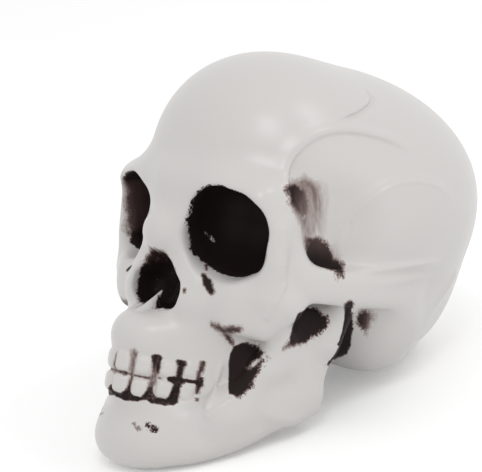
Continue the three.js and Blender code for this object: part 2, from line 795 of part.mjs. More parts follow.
// Smallest first queue of edges
class EdgeQueue {
  constructor() {
    this.items = [];
  }

  push(item) {
    const { items } = this;
    let place = items.push(item) - 1;
    while (place > 0) {
      const parent = (place - 1) >> 1;
      if (items[parent].cost <= items[place].cost) break;
      [items[parent], items[place]] = [items[place], items[parent]];
      place = parent;
    }
  }

  pop() {
    const { items } = this;
    const first = items[0];
    const last = items.pop();
    if (!items.length) return first;
    items[0] = last;
    let place = 0;
    while (2 * place + 1 < items.length) {
      let child = 2 * place + 1;
      if (child + 1 < items.length && items[child + 1].cost < items[child].cost) child += 1;
      if (items[place].cost <= items[child].cost) break;
      [items[place], items[child]] = [items[child], items[place]];
      place = child;
    }
    return first;
  }
}

// Sum of squared distances to the planes round a point, as ten numbers
function planeError(points, [a, b, c], weightAt) {
  const normal = cross(minus(points[b], points[a]), minus(points[c], points[a]));
  const length = Math.hypot(...normal);
  if (length === 0) return new Array(10).fill(0);
  const [x, y, z] = normal.map((value) => value / length);
  const w = -(x * points[a][0] + y * points[a][1] + z * points[a][2]);
  const weight = length * weightAt(points[a]);
  return [x * x, x * y, x * z, x * w, y * y, y * z, y * w, z * z, z * w, w * w].map((term) => term * weight);
}

function errorAt(q, [x, y, z]) {
  return q[0] * x * x + 2 * q[1] * x * y + 2 * q[2] * x * z + 2 * q[3] * x
    + q[4] * y * y + 2 * q[5] * y * z + 2 * q[6] * y + q[7] * z * z + 2 * q[8] * z + q[9];
}

// The point where the error is least, or nothing where the planes don't settle one
function leastErrorPoint(q) {
  const rows = [[q[0], q[1], q[2]], [q[1], q[4], q[5]], [q[2], q[5], q[7]]];
  const across = cross(rows[1], rows[2]);
  const determinant = dot(rows[0], across);
  const size = q[0] + q[4] + q[7];
  if (Math.abs(determinant) < flatShare * size ** 3) return null;
  const right = [-q[3], -q[6], -q[8]];
  const solve = (column) => {
    const swapped = rows.map((row, i) => row.map((value, j) => (j === column ? right[i] : value)));
    return dot(swapped[0], cross(swapped[1], swapped[2])) / determinant;
  };
  return [solve(0), solve(1), solve(2)];
}

// Thins a closed mesh to a number of faces: the edge whose loss changes the surface least
// is drawn together first, and never where that would fold or pinch the surface
function thinOut({ points, faces }, faceBudget, weightAt) {
  const facesAt = points.map(() => new Set());
  const errors = points.map(() => new Array(10).fill(0));
  const stamps = new Int32Array(points.length);
  let alive = faces.length;
  faces.forEach((face, index) => {
    const error = planeError(points, face, weightAt);
    for (const point of face) {
      facesAt[point].add(index);
      error.forEach((term, i) => {
        errors[point][i] += term;
      });
    }
  });
  const neighboursOf = (point) => {
    const found = new Set();
    for (const index of facesAt[point]) {
      for (const other of faces[index]) found.add(other);
    }
    found.delete(point);
    return found;
  };
  const queue = new EdgeQueue();
  const enqueue = (a, b) => {
    const sum = errors[a].map((term, i) => term + errors[b][i]);
    const middle = points[a].map((value, axis) => (value + points[b][axis]) / 2);
    const length = Math.hypot(...minus(points[a], points[b]));
    const best = leastErrorPoint(sum);
    const near = best && Math.hypot(...minus(best, middle)) < moveShare * length;
    const choices = near ? [best] : [middle, points[a], points[b]];
    const costs = choices.map((choice) => errorAt(sum, choice));
    const least = costs.indexOf(Math.min(...costs));
    const cost = Math.max(costs[least], 0) + evennessShare * (sum[0] + sum[4] + sum[7]) * length ** 2;
    queue.push({ cost, a, b, stampA: stamps[a], stampB: stamps[b], place: choices[least], sum });
  };
  const wouldFold = (point, other, place) => {
    for (const index of facesAt[point]) {
      const face = faces[index];
      if (face.includes(other)) continue;
      const before = face.map((id) => points[id]);
      const after = face.map((id) => (id === point ? place : points[id]));
      const old = cross(minus(before[1], before[0]), minus(before[2], before[0]));
      const fresh = cross(minus(after[1], after[0]), minus(after[2], after[0]));
      const longest = Math.max(...after.map((corner, i) => Math.hypot(...minus(corner, after[(i + 1) % 3]))));
      if (dot(old, fresh) < leastTurnShare * Math.hypot(...old) * Math.hypot(...fresh)) return true;
      if (Math.hypot(...fresh) < leastHeightShare * longest ** 2) return true;
    }
    return false;
  };
  faces.forEach(([a, b, c]) => {
    for (const [from, to] of [[a, b], [b, c], [c, a]]) {
      if (from < to) enqueue(from, to);
    }
  });
  while (alive > faceBudget && queue.items.length) {
    const { a, b, stampA, stampB, place, sum } = queue.pop();
    if (stamps[a] !== stampA || stamps[b] !== stampB) continue;
    const around = neighboursOf(b);
    const shared = [...neighboursOf(a)].filter((point) => around.has(point));
    if (shared.length !== 2 || wouldFold(a, b, place) || wouldFold(b, a, place)) continue;
    points[a] = place;
    errors[a] = sum;
    for (const index of facesAt[b]) {
      if (faces[index].includes(a)) {
        for (const point of faces[index]) facesAt[point].delete(index);
        faces[index] = null;
        alive -= 1;
      } else {
        faces[index] = faces[index].map((point) => (point === b ? a : point));
        facesAt[a].add(index);
      }
    }
    facesAt[b].clear();
    stamps[a] += 1;
    stamps[b] += 1;
    for (const point of neighboursOf(a)) enqueue(a, point);
  }
  return { points, faces: faces.filter(Boolean) };
}

// Boolean solids
const wasm = await Module();
wasm.setup();

function solidOf(points, faces) {
  const used = new Map();
  const triVerts = Uint32Array.from(faces.flat().map((point) => {
    if (!used.has(point)) used.set(point, used.size);
    return used.get(point);
  }));
  const vertProperties = Float32Array.from([...used.keys()].flatMap((point) => points[point]));
  return new wasm.Manifold(new wasm.Mesh({ numProp: 3, vertProperties, triVerts }));
}

function solidOfGeometry(geometry) {
  geometry.deleteAttribute('normal');
  geometry.deleteAttribute('uv');
  const merged = mergeVertices(geometry);
  return new wasm.Manifold(new wasm.Mesh({
    numProp: 3,
    vertProperties: merged.attributes.position.array,
    triVerts: Uint32Array.from(merged.index.array),
  }));
}

function geometryOf(solid, place) {
  const mesh = solid.getMesh();
  const geometry = new THREE.BufferGeometry();
  geometry.setAttribute('position', new THREE.BufferAttribute(Float32Array.from(mesh.vertProperties), 3));
  geometry.setIndex(new THREE.BufferAttribute(Uint32Array.from(mesh.triVerts), 1));
  geometry.applyMatrix4(place);
  geometry.computeVertexNormals();
  return geometry;
}

// The same geometry on the other side of the seam, with its faces turned to point out
function mirrored(geometry) {
  const copy = geometry.clone();
  copy.applyMatrix4(new THREE.Matrix4().makeScale(-1, 1, 1));
  const index = copy.index.array;
  for (let i = 0; i < index.length; i += 3) {
    [index[i + 1], index[i + 2]] = [index[i + 2], index[i + 1]];
  }
  return copy;
}

// A box as a solid, from its two ends along each axis
function boxSolid(low, high) {
  const geometry = new THREE.BoxGeometry(high[0] - low[0], high[1] - low[1], high[2] - low[2]);
  geometry.translate((low[0] + high[0]) / 2, (low[1] + high[1]) / 2, (low[2] + high[2]) / 2);
  return solidOfGeometry(geometry);
}

// A cylinder across the seam, between two x
function crossCylinder(radius, fromX, toX, [y, z]) {
  const geometry = new THREE.CylinderGeometry(radius, radius, toX - fromX, pinSides);
  geometry.rotateZ(Math.PI / 2);
  geometry.translate((fromX + toX) / 2, y, z);
  return solidOfGeometry(geometry);
}

// Pitch that brings the chin and the back of the head to the same level, and that level
function restOf(points) {
  const lowest = (pitch, isRear) => {
    let least = Infinity;
    for (const [, y, z] of points) {
      if (y > 0 !== isRear) continue;
      least = Math.min(least, z * Math.cos(pitch) - y * Math.sin(pitch));
    }
    return least;
  };
  let shallow = 0;
  let steep = radians(steepestPitch);
  for (let round = 0; round < searchRounds; round += 1) {
    const pitch = (shallow + steep) / 2;
    if (lowest(pitch, true) > lowest(pitch, false)) shallow = pitch;
    else steep = pitch;
  }
  return { pitch: steep, level: lowest(steep, false) };
}

// The mesh of the outside
function outsideMesh() {
  const { low, high } = boxOf(skull, skullSpacing);
  const toothTop = biteShare * faceHeight + toothStretchShares.top * toothHeight;
  const toothFoot = biteShare * faceHeight - toothStretchShares.foot * toothHeight;
  const toothRear = -faceDepth + toothRowDepth;
  const toothSide = toothRowWidth / 2;
  const lines = [
    gridLines(low[0], high[0], skullSpacing, low[0], toothSide, toothSpacing),
    gridLines(low[1], high[1], skullSpacing, low[1], toothRear, toothSpacing),
    gridLines(low[2], high[2], skullSpacing, toothFoot, toothTop, toothSpacing),
  ];
  const weightAt = ([x, y, z]) => {
    const nearTeeth = x < toothSide && y < toothRear && z > toothFoot && z < toothTop;
    return nearTeeth ? toothFaceWeight : 1;
  };
  return thinOut(surfaceOf(skull, lines), outsideFaces, weightAt);
}

// The mesh of the hollow inside
function insideMesh() {
  const { low, high } = boxOf(hollow, hollowSpacing);
  const lines = [0, 1, 2].map((axis) => gridLines(low[axis], high[axis], hollowSpacing));
  return thinOut(surfaceOf(hollow, lines), insideFaces, () => 1);
}

// Middle of a boss that bites into the wall from inside, sought along one direction
function bossPlace(middle, degrees) {
  const way = [Math.cos(radians(degrees)), Math.sin(radians(degrees))];
  const pointAt = (reach) => [middle[1] + way[0] * reach, middle[2] + way[1] * reach];
  let inner = 0;
  let outer = searchShare * braincaseLength;
  for (let round = 0; round < searchRounds; round += 1) {
    const reach = (inner + outer) / 2;
    if (skull(0, ...pointAt(reach)) < 0) inner = reach;
    else outer = reach;
  }
  return pointAt(inner - wall - bossDiameter / 2 + bossBite);
}

function bossPlaces() {
  const braincaseMiddle = scaled(pinMiddleShares.braincase, braincaseSpans);
  const jawMiddle = scaled(pinMiddleShares.jaw, faceSpans);
  return [
    ...pinAngles.braincase.map((degrees) => bossPlace(braincaseMiddle, degrees)),
    ...pinAngles.jaw.map((degrees) => bossPlace(jawMiddle, degrees)),
  ];
}

function build() {
  const outside = outsideMesh();
  const inside = insideMesh();
  const { pitch, level } = restOf(outside.points);
  const tip = new THREE.Matrix4().makeRotationX(-pitch);
  const reach = searchShare * (braincaseLength + faceDepth + faceHeight);
  const seam = seamGap / 2;

  // One plain half, hollow, with its bosses and cut flush at the seam
  const places = bossPlaces();
  let half = solidOf(outside.points, outside.faces).subtract(solidOf(inside.points, inside.faces));
  for (const place of places) {
    half = half.add(crossCylinder(bossDiameter / 2, 0, bossLength, place));
  }
  half = half.subtract(boxSolid([-reach, -reach, -reach], [seam, reach, reach]));

  // The flats that it rests on, cut while the half is tipped into its rest
  const ground = new THREE.BoxGeometry(2 * reach, 2 * reach, reach);
  ground.translate(0, 0, level + restFlatDepth - reach / 2);
  ground.applyMatrix4(tip.clone().invert());
  half = half.subtract(solidOfGeometry(ground));

  let pinned = half;
  let socketed = half;
  for (const place of places) {
    pinned = pinned.add(crossCylinder(pinDiameter / 2, -pinLength - seam, bossLength / 2, place));
    const boreLength = seam + pinLength + pinClearance;
    socketed = socketed.subtract(crossCylinder(pinDiameter / 2 + pinClearance, 0, boreLength, place));
  }

  const rested = outside.points.map((point) => new THREE.Vector3(...point).applyMatrix4(tip));
  const bounds = new THREE.Box3().setFromPoints(rested);
  const place = new THREE.Matrix4().makeTranslation(
    0,
    -(bounds.min.y + bounds.max.y) / 2,
    -level - restFlatDepth,
  );
  place.multiply(tip);

  const skullGroup = new THREE.Group();
  const shells = {
    left_shell: geometryOf(pinned, place),
    right_shell: mirrored(geometryOf(socketed, place)),
  };
  for (const [name, geometry] of Object.entries(shells)) {
    const material = new THREE.MeshStandardMaterial({
      color: shellColor,
      roughness: shellRoughness,
      metalness: 0,
    });
    const mesh = new THREE.Mesh(geometry, material);
    mesh.name = name;
    skullGroup.add(mesh);
  }
  return skullGroup;
}

export default build();
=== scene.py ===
import math

import bpy
import numpy as np
from mathutils import Matrix, Quaternion, Vector
from mathutils.geometry import tessellate_polygon


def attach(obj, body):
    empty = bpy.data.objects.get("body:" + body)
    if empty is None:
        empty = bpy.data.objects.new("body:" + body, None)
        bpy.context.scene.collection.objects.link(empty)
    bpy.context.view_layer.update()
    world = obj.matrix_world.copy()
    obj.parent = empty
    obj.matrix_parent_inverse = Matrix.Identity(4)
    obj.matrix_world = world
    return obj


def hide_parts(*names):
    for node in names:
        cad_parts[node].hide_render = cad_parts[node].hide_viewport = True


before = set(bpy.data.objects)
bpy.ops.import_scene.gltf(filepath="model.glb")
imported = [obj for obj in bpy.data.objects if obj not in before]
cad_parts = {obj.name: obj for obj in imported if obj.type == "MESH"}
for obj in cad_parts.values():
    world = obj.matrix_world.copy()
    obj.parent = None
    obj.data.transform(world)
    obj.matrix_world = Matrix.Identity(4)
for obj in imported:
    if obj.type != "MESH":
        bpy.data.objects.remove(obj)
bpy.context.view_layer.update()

# The skull's surface is the zero level of one distance field. It is written in millimetres
# about the middle between the ears, upright, with the face along -Y and its left along +X.
# The whole is then tipped back into its rest and brought to metres, a hair smaller than the
# measured size, so that it stays within it.
METRES_PER_MM = 0.001
HAIR_SMALLER = 0.998
MM = METRES_PER_MM * HAIR_SMALLER
REST_PITCH = math.radians(25.6634)
REST_SHIFT = (0.0, 15.849, 47.747)
TO_REST = (
    Matrix.Diagonal((MM, MM, MM, 1.0))
    @ Matrix.Translation(REST_SHIFT)
    @ Matrix.Rotation(-REST_PITCH, 4, "X")
)

# Photograph: the skull's middle in its frame, and the lens that fits it
PHOTO_SIZE = (482, 472)
SKULL_PIXEL = (306.8, 282.7)
PIXELS_PER_MM = 2.111
CAMERA_DISTANCE = 924.0
CAMERA_AZIMUTH = math.radians(48.6)
CAMERA_ELEVATION = math.radians(1.7)
CAMERA_ROLL = math.radians(-10.6)
SENSOR_WIDTH = 36.0
CAMERA_SIGHT_METRES = 20

# Shell: its wall, the grids that its field is sampled on, and the finer stretches at the teeth
WALL = 3.0
SKIN_STEP = 1.0
TOOTH_STEP = 0.5
HOLLOW_STEP = 3.0
GRID_SIDE = 76
GRID_DEPTHS = (-108, 96)
GRID_LEVELS = (-96, 108)
TOOTH_SIDE = 32
TOOTH_DEPTHS = (-106, -72)
TOOTH_LEVELS = (-66, -36)

# Sampling: a first loose grid takes one line in so many, and the field is worked out in full
# where that grid is within the band of the surface. A corner that is taken inside goes as
# deep as a share of its height.
LOOSE_STRIDE = 4
BAND = 7.0
TAKEN_IN_SHARE = 0.25
TINY = 1e-6

# Settling of the points onto the surface, and the reach over which slopes are measured
SETTLE_REACH = 0.3
SETTLE_ROUNDS = 2
SLOPE_REACH = 0.25
LEAST_SLOPE_SQUARED = 0.25
SEAM_WIDTH = 1e-4


# Distance field pieces

def ramp(value, start, end):
    t = np.clip((value - start) / (end - start), 0, 1)
    return t * t * (3 - 2 * t)


def join(a, b, blend):
    overlap = np.maximum(blend - np.abs(a - b), 0) / blend
    return np.minimum(a, b) - overlap * overlap * blend / 4


def keep_both(a, b, blend):
    return -join(-a, -b, blend)


def cut(a, b, blend):
    return -join(-a, b, blend)


def turned(about_x=0.0, about_z=0.0):
    rows = Matrix.Rotation(-math.radians(about_x), 3, "X") @ Matrix.Rotation(-math.radians(about_z), 3, "Z")
    return np.array(rows, np.float32)


def looking(way, roll):
    third = Vector(way).normalized()
    first = Vector((0, 0, 1)).cross(third).normalized()
    second = third.cross(first)
    spin = Quaternion(third, math.radians(roll))
    return np.array([spin @ first, spin @ second, third], np.float32)


def local(p, centre, rows):
    offset = [p[axis] - np.float32(centre[axis]) for axis in range(3)]
    if rows is None:
        return offset
    return [row[0] * offset[0] + row[1] * offset[1] + row[2] * offset[2] for row in rows]


def lobe(p, centre, radii, rows=None):
    u, v, w = [part / np.float32(radius) for part, radius in zip(local(p, centre, rows), radii)]
    reach = np.sqrt(u * u + v * v + w * w)
    slope = np.sqrt((u / radii[0]) ** 2 + (v / radii[1]) ** 2 + (w / radii[2]) ** 2)
    return reach * (reach - 1) / np.maximum(slope, TINY)


def rod(p, points, radii):
    nearest = None
    for start, end, radius, next_radius in zip(points, points[1:], radii, radii[1:]):
        way = np.subtract(end, start).astype(np.float32)
        offset = local(p, start, None)
        along = np.clip(sum(o * w for o, w in zip(offset, way)) / np.float32(way @ way), 0, 1)
        distance = np.sqrt(sum((o - along * w) ** 2 for o, w in zip(offset, way)))
        distance = distance - (radius + along * (next_radius - radius))
        nearest = distance if nearest is None else np.minimum(nearest, distance)
    return nearest


def block(p, centre, halves, corner, rows=None):
    sides = [np.abs(part) - (half - corner) for part, half in zip(local(p, centre, rows), halves)]
    outside = np.sqrt(sum(np.maximum(side, 0) ** 2 for side in sides))
    return outside + np.minimum(np.maximum(np.maximum(sides[0], sides[1]), sides[2]), 0) - corner


def oval(u, v, half_width, half_height, squareness):
    reach = np.abs(u / half_width) ** squareness + np.abs(v / half_height) ** squareness
    return (reach ** (1 / squareness) - 1) * np.minimum(half_width, half_height)


def stroke(across, level, points, radii):
    """A rod drawn flat, from points given as place across and level."""
    flat = [np.zeros_like(across), across, level]
    return rod(flat, [(0, u, z) for u, z in points], radii)


def bump(distance, width):
    """From 1 on a line down to 0 well away from it."""
    return np.exp(-(distance / width) ** 2)


def add_lobe(d, p, centre, radii, blend, rows=None):
    return join(d, lobe(p, centre, radii, rows), blend)


def add_rod(d, p, points, radii, blend):
    return join(d, rod(p, points, radii), blend)


# A lobe is written as its centre and radii, and a rod as its points and radii. Where one is
# added to what is there, the next number is how widely the two blend. Rows are the axes of a
# form that is turned.

# Braincase

CRANIUM = (0, -5, 36), (66, 83, 67)
FOREHEAD = (0, -40, 54.6), (52.7, 49.5, 47.6), 10
CROWN = (0, 16, 50), (60, 57, 46), 10
HEAD_BASE = (0, 28, 6), (47, 44, 41), 12
TEMPLE_HOLLOW = (76, -46, 20), (24, 27, 33)
TEMPLE_BLEND = 10


def braincase(p):
    d = lobe(p, *CRANIUM)
    for form in (FOREHEAD, CROWN, HEAD_BASE):
        d = add_lobe(d, p, *form)
    return cut(d, lobe(p, *TEMPLE_HOLLOW), TEMPLE_BLEND)


# Relief on the side of the head. An oval is its middle, its halves and its squareness. A slope
# is how wide its edge is and how far inside it dies away. A fade is where a form starts along
# an axis and where it is there in full.

DISH = (-28, 42), (38, 29.5), 2.4
DISH_DEPTH = 0.9
DISH_DEEPER_FADE = (62, 48)
DISH_SLOPE = (2.2, 16)
DISH_RIDGE_HEIGHT = 1.1
DISH_RIDGE_PLACE = 1.2
DISH_RIDGE_WIDTH = 2.2
DISH_BACK_FADE = (6, -22)
DISH_LOW_FADE = (28, 44)

PLATE = (2, 26), (38, 31), 2.0
PLATE_HEIGHT = 1.5
PLATE_SLOPE = (2.0, 14)
PLATE_EDGE_HEIGHT = 0.9
PLATE_EDGE_WIDTH = 1.7
PLATE_BACK_FADE = (28, 8)
PLATE_LOW_FADE = (14, 26)
PLATE_FRONT_SHARE = 0.5
PLATE_FRONT_FADE = (-36, -20)

# Ridges that run back from the cheek arch over the ear: the line that they follow, and then
# the height and width of each, its drop below the line, and its front and back fades
EAR_RIDGE_LEVEL = 9.4
EAR_RIDGE_RISE = 0.23
EAR_RIDGE_FRONT = -31.6
EAR_RIDGES = [
    (1.6, 2.0, 0.0, (-36, -26), (26, 10)),
    (1.4, 2.2, 6.8, (-30, -20), (24, 8)),
]

# Lines on the side of the head, as places from front to back and levels
CORONAL_LINE = [
    (-44, 72.7), (-38.6, 75.9), (-32.6, 78.3), (-26.3, 81.5), (-19.7, 85.2), (-16.5, 88.7), (-17.6, 91.5),
]
CORONAL_DEPTH = 1.3
CORONAL_WIDTH = 1
CORONAL_SIDE_FADE = (20, 34)
CORONAL_FRONT_FADE = (-46, -34)
NAPE_LINE = [(48, 16), (26, -17)]
NAPE_HEIGHT = 0.8
NAPE_WIDTH = 3.0
RELIEF_SIDE_FADE = (30, 42)


def side_oval(p, middle, halves, squareness):
    return oval(p[1] - middle[0], p[2] - middle[1], halves[0], halves[1], squareness)


def step_inside(inside, edge_width, reach):
    return ramp(inside, 0, edge_width) * np.exp(-np.maximum(inside, 0) / reach)


def temple_dish(p):
    around = side_oval(p, *DISH)
    depth = DISH_DEPTH + DISH_DEPTH * ramp(p[2], *DISH_DEEPER_FADE)
    ridge = DISH_RIDGE_HEIGHT * bump(around - DISH_RIDGE_PLACE, DISH_RIDGE_WIDTH)
    dish = depth * step_inside(-around, *DISH_SLOPE) - ridge
    return dish * ramp(p[1], *DISH_BACK_FADE) * ramp(p[2], *DISH_LOW_FADE)


def side_plate(p):
    around = side_oval(p, *PLATE)
    edge = PLATE_EDGE_HEIGHT * bump(around, PLATE_EDGE_WIDTH)
    plate = PLATE_HEIGHT * step_inside(-around, *PLATE_SLOPE) + edge
    front = PLATE_FRONT_SHARE + (1 - PLATE_FRONT_SHARE) * ramp(p[1], *PLATE_FRONT_FADE)
    return plate * ramp(p[1], *PLATE_BACK_FADE) * ramp(p[2], *PLATE_LOW_FADE) * front


def side_line(p, line):
    return stroke(p[1], p[2], line, [0] * len(line))


def relief(p):
    x, y, z = p
    d = temple_dish(p) - side_plate(p)
    above = z - (EAR_RIDGE_LEVEL + EAR_RIDGE_RISE * (y - EAR_RIDGE_FRONT))
    for height, width, drop, front_fade, back_fade in EAR_RIDGES:
        d = d - height * bump(above + drop, width) * ramp(y, *front_fade) * ramp(y, *back_fade)
    groove = CORONAL_DEPTH * bump(side_line(p, CORONAL_LINE), CORONAL_WIDTH)
    d = d + groove * ramp(x, *CORONAL_SIDE_FADE) * ramp(y, *CORONAL_FRONT_FADE)
    d = d - NAPE_HEIGHT * bump(side_line(p, NAPE_LINE), NAPE_WIDTH)
    return d * ramp(x, *RELIEF_SIDE_FADE)


# Cheek arch: a flat strip that bows outwards and rises to the back

ARCH_SIDE = 60.5
ARCH_BOW = 0.0062
ARCH_WIDEST = -20
ARCH_LEVEL = 1.2
ARCH_RISE = 0.06
ARCH_FRONT = -54
ARCH_HALVES = (4.6, 8.0)
ARCH_SQUARENESS = 2.6
ARCH_MIDDLE = -19
ARCH_HALF_LENGTH = 38
ARCH_END_BLEND = 8
ARCH_BLEND = 6


def cheek_arch(p):
    x, y, z = p
    outwards = x - (ARCH_SIDE - ARCH_BOW * (y - ARCH_WIDEST) ** 2)
    above = z - (ARCH_LEVEL + ARCH_RISE * (y - ARCH_FRONT))
    strip = oval(outwards, above, *ARCH_HALVES, ARCH_SQUARENESS)
    return keep_both(strip, np.abs(y - ARCH_MIDDLE) - ARCH_HALF_LENGTH, ARCH_END_BLEND)


# Tooth row and gum

ROW_FRONT = -103.2
ROW_SLANT = 0.1
ROW_BOW = 0.031
GUM_INSET = 2.4
GUM_SIDE_INSET = 0.7
GUM_SIDE_FADE = (8, 20)
GUM_LOW_INSET = 1.2
GUM_LOW_FADE = (-50, -56)
GUM_CHIN_INSET = 1.4
GUM_CHIN_FADE = (-62, -72)
GUM_SIDE = 32.5
GUM_SIDE_BLEND = 6
GUM_OVAL = (-85, -47), (42, 22), 2.6
GUM_OVAL_BLEND = 8
GUM_BLEND = 8


def tooth_row_front(x):
    return ROW_FRONT + ROW_SLANT * x + ROW_BOW * x * x


def tooth_row_slope(x):
    return ROW_SLANT + 2 * ROW_BOW * x


def gum(p):
    x, y, z = p
    inset = GUM_INSET + GUM_SIDE_INSET * ramp(x, *GUM_SIDE_FADE)
    inset = inset + GUM_LOW_INSET * ramp(z, *GUM_LOW_FADE)
    inset = inset + GUM_CHIN_INSET * ramp(z, *GUM_CHIN_FADE)
    front = (tooth_row_front(x) + inset - y) / np.sqrt(1 + tooth_row_slope(x) ** 2)
    bow = keep_both(front, x - GUM_SIDE, GUM_SIDE_BLEND)
    return keep_both(bow, side_oval(p, *GUM_OVAL), GUM_OVAL_BLEND)


# Teeth from the middle outwards: x, level, half width and half height
UPPER_TEETH = [
    (4.7, -46.2, 4.5, 5.2),
    (13.1, -46.6, 4.2, 4.6),
    (20.6, -46.4, 4.4, 4.2),
    (25.9, -44.8, 3.8, 4.4),
]
LOWER_TEETH = [
    (4.7, -56.4, 4.5, 4.9),
    (13.1, -56.7, 4.3, 4.6),
    (20.6, -55.4, 4.4, 4.5),
    (25.9, -54.9, 4.2, 4.6),
]
TOOTH_HALF_DEPTH = 3.4
TOOTH_CORNER = 3.2
TOOTH_BLEND = 0.8
LOWER_SETBACK = 0.5


def tooth(p, place, setback):
    x, level, half_width, half_height = place
    slope = tooth_row_slope(x)
    inwards = np.array((-slope, 1.0)) / math.hypot(slope, 1)
    middle = np.array((x, tooth_row_front(x))) + inwards * (TOOTH_HALF_DEPTH + setback)
    centre = (middle[0], middle[1], level)
    halves = (half_width, TOOTH_HALF_DEPTH, half_height)
    return block(p, centre, halves, TOOTH_CORNER, turned(0, math.degrees(math.atan(slope))))


def teeth(p):
    rows = [(place, 0.0) for place in UPPER_TEETH] + [(place, LOWER_SETBACK) for place in LOWER_TEETH]
    return [tooth(p, place, setback) for place, setback in rows]


# Lower jaw: a bow from the chin back to its ends, and a branch up from each end

JAW_HALF_WIDTH = 39.5
JAW_DEPTH = 58.5
JAW_ROOT = -28.0
CHIN_LOW = -91
JAW_LOW_RISE = 34.5
JAW_LOW_POWER = 2.6
CHIN_HIGH = -61.5
JAW_HIGH_RISE = 17.5
JAW_HIGH_POWER = 2
CHIN_LEAN = 0.12
CHIN_HALF_THICKNESS = 10.0
JAW_THINNING = 1.8
JAW_SQUARENESS = 2.5
JAW_END = -20
JAW_END_BLEND = 6
CHIN = (0, -84, -80), (19.5, 12.5, 11), 8
BRANCH_ROWS = turned(-8, -6)
BRANCH = (45, -38, -34), (6, 20, 32), BRANCH_ROWS
BRANCH_NECK = [(48, -26, -22), (54, -23, -2)], [6.5, 6], 8
BRANCH_HORN = [(45, -48, -34), (48, -52, -20)], [6, 5], 8
BRANCH_BLEND = 8
JAW_BLEND = 4
# Block that trims the branch: centre, halves, corner and rows
BRANCH_LIMITS = (45, -38.5, -34), (20, 17.5, 26), 10, BRANCH_ROWS
BRANCH_LIMITS_BLEND = 3


def jaw_bow(p):
    x, y, z = p
    angle = np.maximum(np.arctan2(x / JAW_HALF_WIDTH, (JAW_ROOT - y) / JAW_DEPTH), 0)
    share = np.minimum(angle / (math.pi / 2), 1)
    low = CHIN_LOW + JAW_LOW_RISE * share ** JAW_LOW_POWER
    high = CHIN_HIGH + JAW_HIGH_RISE * share ** JAW_HIGH_POWER
    above = z - (low + high) / 2
    radius = np.hypot(JAW_HALF_WIDTH * np.sin(angle), JAW_DEPTH * np.cos(angle))
    outwards = (np.hypot(x / JAW_HALF_WIDTH, (y - JAW_ROOT) / JAW_DEPTH) - 1) * radius
    outwards = outwards + above * CHIN_LEAN * (1 - share)
    half_thickness = CHIN_HALF_THICKNESS - JAW_THINNING * share
    strip = oval(outwards, above, half_thickness, (high - low) / 2, JAW_SQUARENESS)
    return keep_both(strip, y - JAW_END, JAW_END_BLEND)


def lower_jaw(p):
    branch = keep_both(lobe(p, *BRANCH), block(p, *BRANCH_LIMITS), BRANCH_LIMITS_BLEND)
    branch = add_rod(branch, p, *BRANCH_NECK)
    branch = add_rod(branch, p, *BRANCH_HORN)
    body = add_lobe(jaw_bow(p), p, *CHIN)
    return join(body, branch, BRANCH_BLEND)


# Openings of the face, and the septum in the nose

SOCKET_MIDDLE = (32.3, -77.9, 18.3)
SOCKET_HALVES = (20.8, 19.4, 26)
SOCKET_CORNER = 17
SOCKET_ROWS = looking((0.386, -0.870, -0.305), -8)
SOCKET_BLEND = 3
NOSE_PEAR = [(2.6, -1.2), (9.3, -12.2)], [4.2, 8.5]
NOSE_MIDDLE = [(1.5, -3), (4.5, -16)], [3.4, 5.4]
NOSE_BACK = -72
NOSE_BACK_BLEND = 8
NOSE_OPENING_BLEND = 2.5
SEPTUM = [(0, -91, -25.5), (0, -83.5, -13.6)], [3.6, 0.3]
SEPTUM_BLEND = 2


def socket(p):
    return block(p, SOCKET_MIDDLE, SOCKET_HALVES, SOCKET_CORNER, SOCKET_ROWS)


def nose_opening(p):
    pear = np.minimum(stroke(p[0], p[2], *NOSE_PEAR), stroke(p[0], p[2], *NOSE_MIDDLE))
    return keep_both(pear, p[1] - NOSE_BACK, NOSE_BACK_BLEND)


def septum(p):
    return rod(p, *SEPTUM)


# Fine raised mould lines on the cheek, along the jaw and at its corner
CREASES = [
    [(58.3, -63.8, -1.1), (57.8, -66.7, -8.5), (54.8, -67, -15.5)],
    [(32.4, -69, -40.6), (31.9, -69, -44.3), (33.4, -70.9, -52.4), (35.5, -75.1, -59.7)],
    [(37, -74.7, -62.8), (39.9, -71.8, -58.3), (41.7, -67.6, -54.3)],
]
CREASE_HEIGHT = 0.8
CREASE_WIDTH = 1.2


def creases(p):
    nearest = np.minimum.reduce([rod(p, line, [0] * len(line)) for line in CREASES])
    return CREASE_HEIGHT * bump(nearest, CREASE_WIDTH)


# Face: brow, rims of the socket, cheek, upper jaw and nose, and the forms under the head
BROW = (23, -67, 35), (30, 23.5, 13), 10
BROW_MIDDLE = (0, -72, 35), (14, 21, 13), 10
SOCKET_RIM = [(47.5, -76.2, 32), (53.2, -70.3, 22), (54.3, -67.8, 8), (51.2, -65, -6)], [5, 5, 5, 6.5]
REAR_RIM = [(45.5, -71.3, 36), (50.5, -63.3, 28), (52, -56.3, 14), (53, -53, 2)], [4, 4.5, 4.5, 5], 10
RIM_BLEND = 8
CHEEK_BONE = (40.5, -67.2, -9), (17, 11, 14), 7, turned(0, 40)
CHEEK_EDGE = [(24, -74, -14), (36, -71, -19), (47, -62, -20), (53, -55, -11)], [7, 6, 6, 6], 8
UPPER_JAW = (0, -66, -14), (32, 23.5, 36), 9
UPPER_LIP = (0, -84, -35), (17.5, 18, 10), 7
NOSE_BRIDGE = [(0, -80, 30), (0, -87, 16)], [7, 6.5]
NOSE_ROOT = (0, -86.5, 12.5), (12.5, 10.5, 10.5), 6
NOSE_BLEND = 8
NOSE_SIDE = [(8, -82, 28), (18.5, -81.3, -14)], [5, 6], 8
HEAD_FLOOR = (0, -44, -31), (40, 43, 28), 7, turned(28)
JAW_SWELL = (35, -62, -61), (8, 12, 10), 8
JAW_RIDGE = [(37, -60, -58), (43.5, -56, -40)], [6, 4], 8
EAR_BONE = (28, 15, -9), (27, 25, 26), 12


